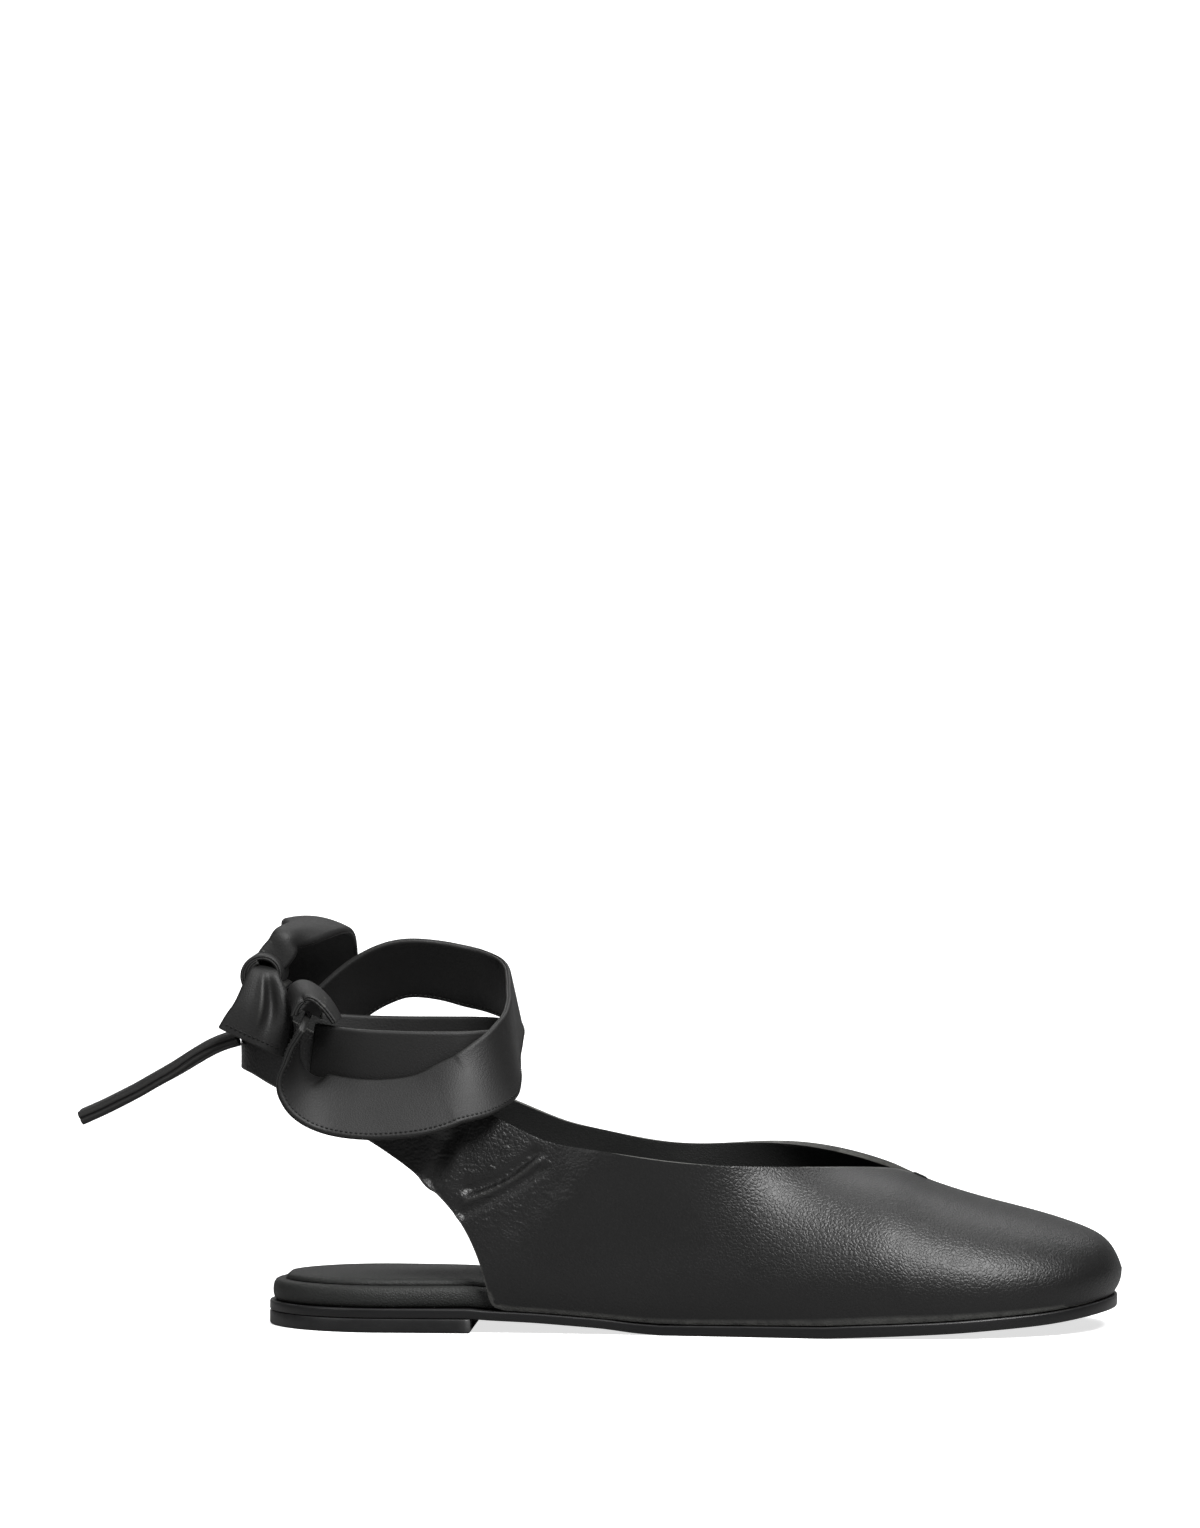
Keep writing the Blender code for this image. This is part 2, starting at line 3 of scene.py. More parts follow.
import bmesh
import bpy
import numpy as np
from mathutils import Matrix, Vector


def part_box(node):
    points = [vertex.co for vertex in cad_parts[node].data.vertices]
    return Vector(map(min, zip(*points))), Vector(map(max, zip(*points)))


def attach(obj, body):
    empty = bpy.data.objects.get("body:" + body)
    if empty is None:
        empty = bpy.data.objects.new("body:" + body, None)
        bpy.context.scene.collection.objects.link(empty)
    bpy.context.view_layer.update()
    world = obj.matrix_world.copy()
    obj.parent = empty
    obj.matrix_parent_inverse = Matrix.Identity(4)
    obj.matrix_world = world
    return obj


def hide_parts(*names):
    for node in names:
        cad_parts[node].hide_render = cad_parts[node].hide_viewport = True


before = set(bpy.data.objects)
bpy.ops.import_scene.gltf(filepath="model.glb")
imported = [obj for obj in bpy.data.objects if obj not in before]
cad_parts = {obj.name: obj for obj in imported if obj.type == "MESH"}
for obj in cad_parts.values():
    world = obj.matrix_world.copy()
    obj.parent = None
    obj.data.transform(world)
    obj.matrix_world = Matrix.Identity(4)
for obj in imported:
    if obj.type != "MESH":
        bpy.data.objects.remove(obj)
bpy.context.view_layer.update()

# The shoe's sizes, in metres, with X counted from its rear
MM = 0.001
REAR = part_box("outsole")[0][0]
SHOE_LENGTH = 250.0 * MM
BALL_WIDTH = 80.5 * MM
THROAT_HEIGHT = 45.2 * MM
WALL = 1.6 * MM
CLEARANCE = 0.3 * MM
HEEL_LENGTH = 61.0 * MM
OUTSOLE_WAIST = 2.8 * MM
OUTSOLE_FOREPART = 3.5 * MM
ARCH_RISE = 4.3 * MM
TOE_SPRING = 6.2 * MM
FOOTBED_HEEL = 6.0 * MM
FOOTBED_FOREPART = 2.5 * MM
SOCK_THICKNESS = 1.9 * MM
SOCK_INSET = 3.5 * MM
RIM_INSET = 1.0 * MM
TOE_TUCK = 4.0 * MM
BED_END = 0.955
FEATHER_INSET = 0.8 * MM
SIDE_BULGE = 1.6 * MM
BULGE_RISE = 7.0 * MM
RIDGE_SHIFT = 1.5 * MM
TIE_WIDTH = 21.0 * MM
TIE_THICKNESS = 2.0 * MM
ANKLE_LENGTH = 68.8 * MM
ANKLE_WIDTH = 58.0 * MM
ANKLE_HEIGHT = 85.0 * MM
KNOT_RADIUS = 7.5 * MM
KNOT_LENGTH = 22.0 * MM
KNOT_PLACE = np.array((-0.5 * MM, -5.0 * MM, 1.212 * ANKLE_HEIGHT))

# Camera, as the photograph was taken: from the outer side, a little to the toe and above
IMAGE_SIZE = (1200, 1528)
CAMERA_DISTANCE = 3.0
CAMERA_AZIMUTH = 3.5
CAMERA_ELEVATION = 2.7
PIXELS_PER_MM = 3.42
AIM = np.array((97.0, 0.0, 164.3)) * MM

# Sole outline: station, middle line over ball width, half width over ball width
SOLE_OUTLINE = (
    (0.00, 0.000, 0.376),
    (0.10, 0.000, 0.376),
    (0.20, -0.003, 0.376),
    (0.30, -0.022, 0.357),
    (0.40, -0.043, 0.348),
    (0.50, -0.050, 0.373),
    (0.60, -0.027, 0.437),
    (0.68, -0.009, 0.488),
    (0.75, -0.003, 0.500),
    (0.82, 0.006, 0.494),
    (0.90, 0.030, 0.488),
    (1.00, 0.050, 0.484),
)
HEEL_CURVE = (0.14, 2.0)
TOE_CURVE = (0.20, 2.3)

# Underside of the outsole forward of the heel: station, rise over arch rise
ARCH = (
    (0.245, 1.00),
    (0.260, 0.91),
    (0.320, 0.74),
    (0.360, 0.58),
    (0.400, 0.40),
    (0.440, 0.12),
    (0.470, 0.00),
)
# Underside at the toe: station, rise over toe spring
TOE_RISE = (
    (0.660, 0.00),
    (0.740, 0.13),
    (0.800, 0.24),
    (0.856, 0.39),
    (0.920, 0.58),
    (1.000, 1.00),
)

# Middle line of the vamp, throat to tip: station, height over throat height
VAMP_PROFILE = (
    (0.754, 1.000),
    (0.787, 0.920),
    (0.822, 0.861),
    (0.857, 0.806),
    (0.892, 0.760),
    (0.928, 0.699),
    (0.951, 0.653),
    (0.974, 0.600),
    (0.986, 0.546),
    (0.993, 0.479),
    (0.997, 0.420),
)
TIP = (1.000, 0.345)

# Quarter where it meets the sole: lower station, topline station, topline half width over
# ball width, topline height over throat height, inner side's extra height over throat height,
# height of the section's shoulder as a share of its rise
SIDE = (
    (0.270, 0.396, 0.368, 1.190, 0.020, 0.52),
    (0.320, 0.434, 0.372, 1.150, 0.010, 0.53),
    (0.385, 0.478, 0.372, 1.118, 0.015, 0.54),
    (0.460, 0.520, 0.368, 1.100, 0.030, 0.56),
    (0.540, 0.568, 0.346, 1.085, 0.065, 0.62),
    (0.612, 0.622, 0.276, 1.072, 0.088, 0.72),
    (0.668, 0.674, 0.186, 1.058, 0.062, 0.82),
    (0.714, 0.716, 0.100, 1.044, 0.025, 0.92),
    (0.740, 0.741, 0.038, 1.025, 0.005, 0.97),
)
# Back edge of the quarter and its strap, from behind the heel to the sole: lower point as
# station, half width over ball width and height over ankle height, then the top point alike,
# and the inner side's extra height over ankle height
BACK = (
    (-0.0344, 0.000, 0.885, -0.0344, 0.000, 1.135, 0.000),
    (-0.0296, 0.070, 0.880, -0.0296, 0.070, 1.130, 0.000),
    (-0.0160, 0.130, 0.868, -0.0168, 0.128, 1.122, 0.000),
    (0.0060, 0.192, 0.835, 0.0120, 0.202, 1.090, 0.000),
    (0.0380, 0.255, 0.795, 0.0520, 0.272, 1.030, 0.000),
    (0.0800, 0.310, 0.725, 0.1060, 0.331, 0.955, 0.000),
    (0.1212, 0.345, 0.665, 0.1680, 0.352, 0.880, 0.000),
    (0.1500, 0.362, 0.612, 0.2120, 0.342, 0.826, 0.005),
    (0.1770, 0.374, 0.556, 0.2480, 0.328, 0.775, 0.014),
    (0.2070, 0.380, 0.474, 0.2820, 0.336, 0.727, 0.022),
    (0.2300, 0.384, 0.396, 0.3120, 0.346, 0.682, 0.028),
    (0.2480, 0.386, 0.300, 0.3380, 0.356, 0.655, 0.024),
    (0.2610, 0.386, 0.190, 0.3620, 0.362, 0.640, 0.018),
)
BACK_SHOULDER = 0.50
CONIC_WEIGHT = 0.90

# Plan of the ankle's outer face, back to front: station over ankle length, half width over
# ankle width
ANKLE_PLAN = (
    (-0.118, 0.000),
    (-0.103, 0.086),
    (-0.076, 0.155),
    (0.000, 0.255),
    (0.110, 0.353),
    (0.248, 0.434),
    (0.413, 0.486),
    (0.620, 0.500),
    (0.758, 0.493),
    (0.854, 0.474),
    (0.937, 0.404),
    (0.981, 0.290),
    (0.997, 0.138),
    (1.000, 0.000),
)

# Rings of the ties: place along the ankle's plan, height over ankle height, outward lean and
# swing in degrees, extra spread over tie width
LOW_RING = (
    (0.162, 0.938, 4.0, 0.0, 0.00),
    (0.215, 0.920, 3.0, 0.0, 0.00),
    (0.300, 0.912, 2.0, 0.0, 0.00),
    (0.400, 0.912, 0.0, 0.0, -0.03),
    (0.500, 0.915, 0.0, 0.0, -0.06),
    (0.600, 0.915, 0.0, 0.0, -0.03),
    (0.710, 0.912, 2.0, 0.0, 0.00),
    (0.790, 0.916, 3.0, 0.0, 0.00),
    (0.850, 0.930, 4.0, 0.0, 0.00),
)
HIGH_RING = (
    (0.173, 1.070, -78.0, 18.0, 0.43),
    (0.163, 1.015, -78.0, 18.0, 0.43),
    (0.157, 0.950, -74.0, 18.0, 0.43),
    (0.160, 0.885, -64.0, 16.0, 0.43),
    (0.175, 0.822, -52.0, 8.0, 0.43),
    (0.200, 0.790, -43.0, 0.0, 0.34),
    (0.234, 0.774, -40.0, 0.0, 0.32),
    (0.268, 0.777, -39.0, 0.0, 0.32),
    (0.306, 0.790, -38.0, 0.0, 0.31),
    (0.343, 0.830, -33.0, 0.0, 0.26),
    (0.374, 0.876, -26.0, 0.0, 0.15),
    (0.406, 0.928, -16.0, 0.0, 0.04),
    (0.450, 0.982, -8.0, 0.0, 0.00),
    (0.505, 1.038, -7.0, 0.0, -0.05),
    (0.571, 1.100, -12.0, 0.0, -0.03),
    (0.635, 1.157, -24.0, 0.0, 0.00),
    (0.710, 1.200, -31.0, 0.0, 0.00),
    (0.760, 1.186, -30.0, 0.0, 0.00),
    (0.810, 1.102, -27.0, 0.0, 0.06),
    (0.850, 0.990, -22.0, 0.0, 0.12),
)

# Pieces of the bow, in tie widths from the knot's middle: place, then direction of the width,
# then width over tie width
LOOP = (
    (0.205, -0.12, 0.325, 0.80, 0.00, -0.60, 0.46),
    (0.26, -0.11, 0.42, 0.78, 0.10, -0.60, 0.44),
    (0.32, -0.06, 0.51, 0.76, 0.25, -0.58, 0.42),
    (0.41, 0.10, 0.58, 0.84, 0.30, -0.40, 0.44),
    (0.54, 0.38, 0.64, 0.95, 0.15, -0.20, 0.60),
    (0.60, 0.78, 0.69, 0.98, 0.04, -0.14, 0.88),
    (0.61, 1.24, 0.65, 0.99, 0.00, -0.12, 1.03),
    (0.61, 1.68, 0.42, 1.00, 0.00, -0.06, 1.05),
    (0.60, 1.98, 0.02, 1.00, 0.00, 0.00, 1.05),
    (0.59, 2.08, -0.50, 1.00, 0.00, 0.00, 1.05),
)
END = (
    (0.02, -0.66, -0.14, 0.98, 0.08, -0.20, 0.62),
    (0.02, -0.74, -0.40, 0.95, 0.04, -0.30, 0.82),
    (-0.03, -0.78, -0.65, 0.90, 0.00, -0.42, 0.96),
    (-0.14, -0.79, -0.91, 0.82, 0.00, -0.57, 1.02),
)
FOLD = (
    (0.50, -1.12, -0.49, -0.05, 0.97, 0.22, 0.82),
    (0.52, -1.11, -0.27, -0.20, 0.92, 0.34, 0.84),
    (0.64, -1.10, -0.18, -0.15, 0.96, 0.22, 0.86),
    (0.81, -1.10, -0.24, -0.04, 0.99, 0.12, 0.84),
    (0.97, -1.10, -0.41, 0.00, 1.00, 0.06, 0.82),
    (1.07, -1.10, -0.57, 0.00, 1.00, 0.00, 0.80),
)
TAIL = (
    (-0.405, -0.12, -0.90, 0.10, 0.96, 0.20, 0.46),
    (-0.75, -0.12, -1.02, 0.10, 0.96, 0.20, 0.50),
    (-1.20, -0.10, -1.30, 0.08, 0.97, 0.20, 0.52),
    (-1.60, -0.08, -1.52, 0.06, 0.98, 0.16, 0.52),
    (-2.02, -0.05, -1.76, 0.04, 0.98, 0.12, 0.50),
    (-2.57, 0.00, -2.02, 0.00, 1.00, 0.05, 0.46),
)


# Curves and surfaces

def smooth(table, place):
    """Monotone cubic through a table's rows: first column the place, the others the values."""
    rows = np.array(table, dtype=float)
    at, values = rows[:, 0], rows[:, 1:]
    place = np.clip(np.asarray(place, dtype=float), at[0], at[-1])
    gap = np.diff(at)[:, None]
    slope = np.diff(values, axis=0) / gap
    tangent = np.zeros_like(values)
    tangent[0], tangent[-1] = slope[0], slope[-1]
    agree = slope[:-1] * slope[1:] > 0
    total = np.where(agree, slope[:-1] + slope[1:], 1.0)
    tangent[1:-1] = np.where(agree, 2.0 * slope[:-1] * slope[1:] / total, 0.0)
    cell = np.clip(np.searchsorted(at, place, side="right") - 1, 0, len(at) - 2)
    step = gap[cell]
    t = (place - at[cell])[..., None] / step
    return (
        values[cell] * (2 * t**3 - 3 * t**2 + 1)
        + values[cell + 1] * (3 * t**2 - 2 * t**3)
        + tangent[cell] * step * (t**3 - 2 * t**2 + t)
        + tangent[cell + 1] * step * (t**3 - t**2)
    )


def run_on(rows):
    """Rows with one more at each end, straight on from the last two."""
    return np.vstack((2 * rows[0] - rows[1], rows, 2 * rows[-1] - rows[-2]))


def flowing(rows, place):
    """Catmull-Rom curve through rows, place running from 0 to 1 over the whole table."""
    rows = np.asarray(rows, dtype=float)
    padded = run_on(rows)
    spot = np.clip(np.asarray(place, dtype=float), 0, 1) * (len(rows) - 1)
    cell = np.minimum(spot.astype(int), len(rows) - 2)
    t = (spot - cell)[:, None]
    before, start, end, after = (padded[cell + k] for k in range(4))
    return 0.5 * (
        2 * start
        + (end - before) * t
        + (2 * before - 5 * start + 4 * end - after) * t**2
        + (3 * start - before - 3 * end + after) * t**3
    )


def soft_weights(count, samples):
    """Weights of a uniform cubic B-spline on count rows with one more row at each end: each
    sample is a smooth mean of the four rows about it."""
    spot = np.linspace(0, count - 1, samples)
    cell = np.minimum(spot.astype(int), count - 2)
    t = spot - cell
    four = np.stack(((1 - t) ** 3, 3 * t**3 - 6 * t**2 + 4, 1 + 3 * t + 3 * t**2 - 3 * t**3, t**3), axis=1)
    weights = np.zeros((samples, count + 2))
    for k in range(4):
        weights[np.arange(samples), cell + k] += four[:, k] / 6
    return weights


def soft_curve(rows, samples):
    """Cubic B-spline along rows that starts and ends on the first and the last, each row moved
    out first by what the spline would round off."""
    rows = np.array(rows, dtype=float)
    rows[1:-1] += (2 * rows[1:-1] - rows[:-2] - rows[2:]) / 6
    return soft_weights(len(rows), samples) @ run_on(rows)


def unit(vectors):
    return vectors / np.maximum(np.linalg.norm(vectors, axis=-1), 1e-12)[..., None]


def run_of(points):
    """Length along a path up to each of its points."""
    return np.concatenate(([0.0], np.cumsum(np.linalg.norm(np.diff(points, axis=0), axis=1))))


def picked(where, run, values):
    """Values at given lengths along a path, on straight lines between its points."""
    return np.stack([np.interp(where, run, column) for column in values.T], axis=-1)


def sheet_normals(sheet):
    """Normals of a grid of points: the cross product of its two directions."""
    return unit(np.cross(np.gradient(sheet, axis=0), np.gradient(sheet, axis=1)))


def noise_1d(place, seed, octaves=3):
    """Smooth wandering value about 0: a sum of sines with set phases and falling heights."""
    phases = np.random.default_rng(seed).uniform(0, 2 * math.pi, (octaves, 2))
    total = np.zeros_like(np.asarray(place, dtype=float))
    for k in range(octaves):
        total += np.sin(place * 2 * math.pi * 1.7**k * (1 + 0.13 * k) + phases[k, 0]) / 1.6**k
    return total / 2


# Meshes

def add(name, data):
    made = bpy.data.objects.new(name, data)
    bpy.context.scene.collection.objects.link(made)
    return made


def finish_mesh(name, points, faces, look, uv=None):
    """Object from points laid out from the rear of the shoe, set into the part's frame."""
    mesh = bpy.data.meshes.new(name)
    place = np.asarray(points, dtype=float) + (REAR, 0.0, 0.0)
    mesh.from_pydata(place.tolist(), [], faces.tolist() if hasattr(faces, "tolist") else faces)
    if uv is not None:
        layer = mesh.uv_layers.new(name="UVMap")
        corner = np.empty(len(mesh.loops), dtype=np.int64)
        mesh.loops.foreach_get("vertex_index", corner)
        layer.data.foreach_set("uv", np.asarray(uv, dtype=float)[corner].ravel())
    mesh.shade_smooth()
    mesh.materials.append(look)
    return add(name, mesh)


def grid_faces(rows, columns, start=0, flip=False, wrap=False):
    """Quads of a grid whose points run row by row; wrap joins the last column to the first."""
    i, j = np.meshgrid(np.arange(rows - 1), np.arange(columns if wrap else columns - 1), indexing="ij")
    k = (j + 1) % columns
    row, next_row = i * columns, (i + 1) * columns
    quads = np.stack((row + j, next_row + j, next_row + k, row + k), axis=-1).reshape(-1, 4) + start
    return quads[:, ::-1] if flip else quads


def closed_loft(name, rings, look, uv=None):
    """Solid skin through closed rings, the end rings closed by flat faces."""
    count, around = rings.shape[:2]
    faces = grid_faces(count, around, wrap=True).tolist()
    faces.append(list(range(around)))
    faces.append([(count - 1) * around + k for k in range(around - 1, -1, -1)])
    made = finish_mesh(name, rings.reshape(-1, 3), faces, look, uv=uv)
    tidy_normals(made)
    return made


def tidy_normals(made, merge=1e-6):
    """Merges doubled points and turns every face outwards."""
    body = bmesh.new()
    body.from_mesh(made.data)
    bmesh.ops.remove_doubles(body, verts=body.verts, dist=merge)
    bmesh.ops.dissolve_degenerate(body, dist=1e-8, edges=body.edges)
    bmesh.ops.recalc_face_normals(body, faces=body.faces)
    body.to_mesh(made.data)
    body.free()


def seat(made, slot, *replaced):
    """Piece of the shoe: it rides on the one body and stands for its node; its slot is not used."""
    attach(made, "root")
    if replaced:
        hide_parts(*replaced)


# Sole outline and heights

def rounding(station):
    """Share of the half width left by the superellipse ends at heel and toe."""
    heel_reach, heel_power = HEEL_CURVE
    toe_reach, toe_power = TOE_CURVE
    heel = np.clip((heel_reach - station) / heel_reach, 0, 1)
    toe = np.clip((station - 1 + toe_reach) / toe_reach, 0, 1)
    return (1 - heel**heel_power) ** (1 / heel_power) * (1 - toe**toe_power) ** (1 / toe_power)


def outline(station):
    """Middle line and half width of the sole at each station."""
    middle, half = smooth(SOLE_OUTLINE, station).T
    return middle * BALL_WIDTH, half * BALL_WIDTH * rounding(station)


def underside(station):
    station = np.asarray(station, dtype=float)
    arch = smooth(ARCH, station)[:, 0] * ARCH_RISE
    toe = smooth(TOE_RISE, station)[:, 0] * TOE_SPRING
    return np.maximum(arch, toe)


def outsole_top(station):
    share = np.clip((station - 0.40) / 0.30, 0, 1)
    return underside(station) + OUTSOLE_WAIST + (OUTSOLE_FOREPART - OUTSOLE_WAIST) * share


def footbed_top(station):
    share = np.clip((np.asarray(station) - 0.22) / 0.40, 0, 1)
    share = share * share * (3 - 2 * share)
    return outsole_top(station) + CLEARANCE + FOOTBED_HEEL + (FOOTBED_FOREPART - FOOTBED_HEEL) * share


def bed_clearance(station):
    """Inset of the footbed's bulging rim: bare at the heel, inside the upper's wall further on."""
    station = np.asarray(station)
    inside = WALL + FEATHER_INSET + 2 * CLEARANCE
    toe = np.clip((station - 0.78) / 0.15, 0, 1) ** 2 * TOE_TUCK
    return RIM_INSET + np.clip((station - 0.15) / 0.09, 0, 1) * (inside - RIM_INSET) + toe


def end_spaced(count, start=0.0, stop=1.0):
    """Stations closer together towards both ends."""
    return start + (stop - start) * (1 - np.cos(np.linspace(0, math.pi, count))) / 2


def sole_edge(stations, side):
    """Plan points of the sole's edge on one side, with their outward plan normals."""
    middle, half = outline(stations)
    x = stations * (SHOE_LENGTH - SIDE_BULGE)
    y = middle + side * half
    along = np.stack((np.gradient(x), np.gradient(y)), axis=1)
    normal = np.stack((-along[:, 1], along[:, 0]), axis=1) * side
    normal[stations > 0.9999] = (1.0, 0.0)
    normal[stations < 0.0001] = (-1.0, 0.0)
    return np.stack((x, y), axis=1), unit(normal)


# Plates with the sole's outline

def plate(name, stations, profile, look, clearance=None, square_end=False, crown=0.0):
    """Plate with the sole's outline. Each profile row gives an inset from the edge and a height
    as a function of the station; loops at those insets make the rim, and straight lines across
    close the faces, the upper one raised by a parabola of the given crown."""
    left, left_normal = sole_edge(stations, -1)
    right, right_normal = sole_edge(stations, 1)
    if square_end:
        left_normal[-1] = (1.0, -1.0)
        right_normal[-1] = (1.0, 1.0)
    back = slice(None, 0, -1) if square_end else slice(-2, 0, -1)
    edge = np.vstack((left, right[back]))
    normal = np.vstack((left_normal, right_normal[back]))
    around = np.concatenate((stations, stations[back]))
    inside = np.zeros(len(around)) if clearance is None else clearance(around)
    rings = np.array([
        np.column_stack((edge - normal * (inset + inside)[:, None], height(around)))
        for inset, height in profile])
    count = len(around)
    points = [rings.reshape(-1, 3)]
    faces = [grid_faces(len(rings), count, wrap=True)]
    total = len(rings) * count
    across = 13
    share = np.linspace(0, 1, across)[None, 1:-1, None]
    last = len(stations) if square_end else len(stations) - 1
    row = np.arange(1, last)
    for ring_at, flip in ((0, True), (len(rings) - 1, False)):
        lefts = rings[ring_at, 1:last]
        rights = rings[ring_at, ::-1][:last - 1]
        inner = lefts[:, None] + (rights - lefts)[:, None] * share
        if not flip:
            inner[:, :, 2] += crown * (1 - (2 * share[..., 0] - 1) ** 2)
        points.append(inner.reshape(-1, 3))
        base = ring_at * count
        inner_id = total + np.arange(inner[..., 0].size).reshape(inner.shape[:2])
        total += inner_id.size
        ids = np.column_stack((base + row, inner_id, base + count - row))
        quads = np.stack((ids[:-1, :-1], ids[:-1, 1:], ids[1:, 1:], ids[1:, :-1]), axis=-1).reshape(-1, 4)
        faces.append(quads[:, ::-1] if flip else quads)
        fan = np.stack((np.full(across - 1, base), ids[0, 1:], ids[0, :-1]), axis=-1)
        faces.append(fan[:, ::-1] if flip else fan)
        if not square_end:
            tip = base + len(stations) - 1
            fan = np.stack((np.full(across - 1, tip), ids[-1, :-1], ids[-1, 1:]), axis=-1)
            faces.append(fan[:, ::-1] if flip else fan)
    flat = [face for group in faces for face in group.tolist()]
    points = np.vstack(points)
    made = finish_mesh(name, points, flat, look, uv=points[:, :2])
    tidy_normals(made)
    return made


def heights(bottom, top, share, lift=0.0):
    """Height a share of the way from one face to the other, as a function of the station."""
    return lambda station: bottom(station) + (top(station) - bottom(station)) * share + lift


# Upper

def quarter_columns(side, back_count, side_count, vamp_count):
    """Lower, shoulder and top points of the upper's columns, heel's back to toe, on one side."""
    extra = 1.0 if side > 0 else 0.0
    index = np.arange(len(SIDE))
    table = np.column_stack((index, SIDE))
    low_at, top_at, top_half, top_high, inner, shoulder = smooth(
        table, np.linspace(0, index[-1], side_count)).T
    vamp_at = end_spaced(vamp_count * 2, 2 * VAMP_PROFILE[0][0] - 1.0, 1.0)[vamp_count:]
    vamp_at = np.concatenate(([VAMP_PROFILE[0][0]], vamp_at))
    height = smooth(VAMP_PROFILE + (TIP,), vamp_at)[:, 0]
    low_at = np.concatenate((low_at, vamp_at))
    top_at = np.concatenate((top_at, vamp_at))
    top_half = np.concatenate((top_half, np.zeros(len(vamp_at)))) * BALL_WIDTH
    top_z = np.concatenate((top_high + inner * extra, height)) * THROAT_HEIGHT
    shoulder = np.concatenate((shoulder, np.ones(len(vamp_at))))
    edge, normal = sole_edge(low_at, side)
    base = edge + normal * SIDE_BULGE
    low_z = outsole_top(low_at) + CLEARANCE
    low = np.column_stack((base, low_z))
    ridge = RIDGE_SHIFT * np.sin(math.pi * np.clip((top_at - 0.5) / 0.5, 0, 1))
    top = np.column_stack((top_at * SHOE_LENGTH, outline(top_at)[0] + ridge + side * top_half, top_z))
    corner = low + (top - low) * shoulder[:, None]
    corner[:, 1] = low[:, 1]
    under_vamp = low_at >= VAMP_PROFILE[0][0]
    corner[under_vamp, 0] = base[under_vamp, 0]
    rows = np.array(BACK)
    share = 1.0 - np.clip(rows[:, 2], 0, 1)
    middle = outline(np.maximum(rows[:, 0], 0.2))[0] * share
    back_low = np.column_stack((
        rows[:, 0] * SHOE_LENGTH, middle + side * rows[:, 1] * BALL_WIDTH, rows[:, 2] * ANKLE_HEIGHT))
    back_top = np.column_stack((
        rows[:, 3] * SHOE_LENGTH, side * rows[:, 4] * BALL_WIDTH,
        (rows[:, 5] + rows[:, 6] * extra) * ANKLE_HEIGHT))
    spread = np.clip((np.arange(len(rows)) - 6) / 6, 0, 1)
    back_corner = back_low + (back_top - back_low) * BACK_SHOULDER
    back_corner[:, 1] += (back_low[:, 1] - back_corner[:, 1]) * spread
    packed = np.hstack((
        np.vstack((back_low, low[:1])), np.vstack((back_corner, corner[:1])), np.vstack((back_top, top[:1]))))
    strap = flowing(packed, np.linspace(0, 1, back_count))[:-1]
    strap_normal = np.tile((0.0, float(side)), (len(strap), 1))
    last = back_count / len(BACK)
    tuck = np.clip((np.arange(len(strap)) - (len(strap) - last)) / last, 0, 1)
    return (
        np.vstack((strap[:, 0:3], low)),
        np.vstack((strap[:, 3:6], corner)),
        np.vstack((strap[:, 6:9], top)),
        np.vstack((strap_normal, normal)),
        np.concatenate((tuck, np.ones(len(low)))),
    )


def upper_net(side, back_count, side_count, vamp_count, rise_count):
    """Control points of one half of the upper: columns from the heel's back to the toe, each a
    conic from the feather line to the topline or the vamp's ridge, tucked in over the sole."""
    low, corner, top, normal, tuck = quarter_columns(side, back_count, side_count, vamp_count)
    f = np.linspace(0, 1, rise_count)[None, :, None]
    weights = (1 - f) ** 2, 2 * f * (1 - f) * CONIC_WEIGHT, f**2
    sheet = sum(w * p[:, None] for w, p in zip(weights, (low, corner, top))) / sum(weights)
    drop = np.clip(1 - (sheet[:, :, 2] - low[:, None, 2]) / BULGE_RISE, 0, 1) ** 2.2
    drop = drop * tuck[:, None] * (SIDE_BULGE + FEATHER_INSET)
    sheet[:, :, :2] -= normal[:, None] * drop[:, :, None]
    return sheet


def rimmed(net, other, throat):
    """Net with one more row at the feather line and at the topline, straight on, and past the
    vamp's ridge the other half's."""
    lower = 2 * net[:, 0] - net[:, 1]
    upper = 2 * net[:, -1] - net[:, -2]
    upper[throat:] = other[throat:, -2]
    return np.concatenate((lower[:, None], net, upper[:, None]), axis=1)


def padded_net(own, other, throat):
    """Rimmed net with one more column behind the heel and at the toe, the other half's."""
    mirror = rimmed(other, own, throat)
    return np.concatenate((mirror[1:2], rimmed(own, other, throat), mirror[-2:-1]), axis=0)


def relax(nets, throat, rounds):
    """Evens both nets: each inner point moves towards its neighbours' mean and then a little
    further back, which takes out short waves and keeps the form."""
    nets = [net.copy() for net in nets]
    for step in (0.50, -0.52) * rounds:
        wide = [padded_net(nets[0], nets[1], throat), padded_net(nets[1], nets[0], throat)]
        for net, pad in zip(nets, wide):
            mean = (pad[:-2, 1:-1] + pad[2:, 1:-1] + pad[1:-1, :-2] + pad[1:-1, 2:]) / 4
            move = (mean - net) * step
            move[:, 0] = 0
            along = (pad[:-2, -2] + pad[2:, -2]) / 2
            move[:throat, -1] = ((along - net[:, -1]) * step)[:throat]
            move[throat] = 0
            net += move
    ridge = (nets[0][throat:, -1] + nets[1][throat:, -1]) / 2
    nets[0][throat:, -1] = ridge
    nets[1][throat:, -1] = ridge
    return nets


NET_COUNTS = (24, 14, 11, 9)
NET_THROAT = NET_COUNTS[0] - 1 + NET_COUNTS[1]
FINE_COLUMNS = 5
FINE_RISES = 6
EDGE_EASE = 0.45 * MM


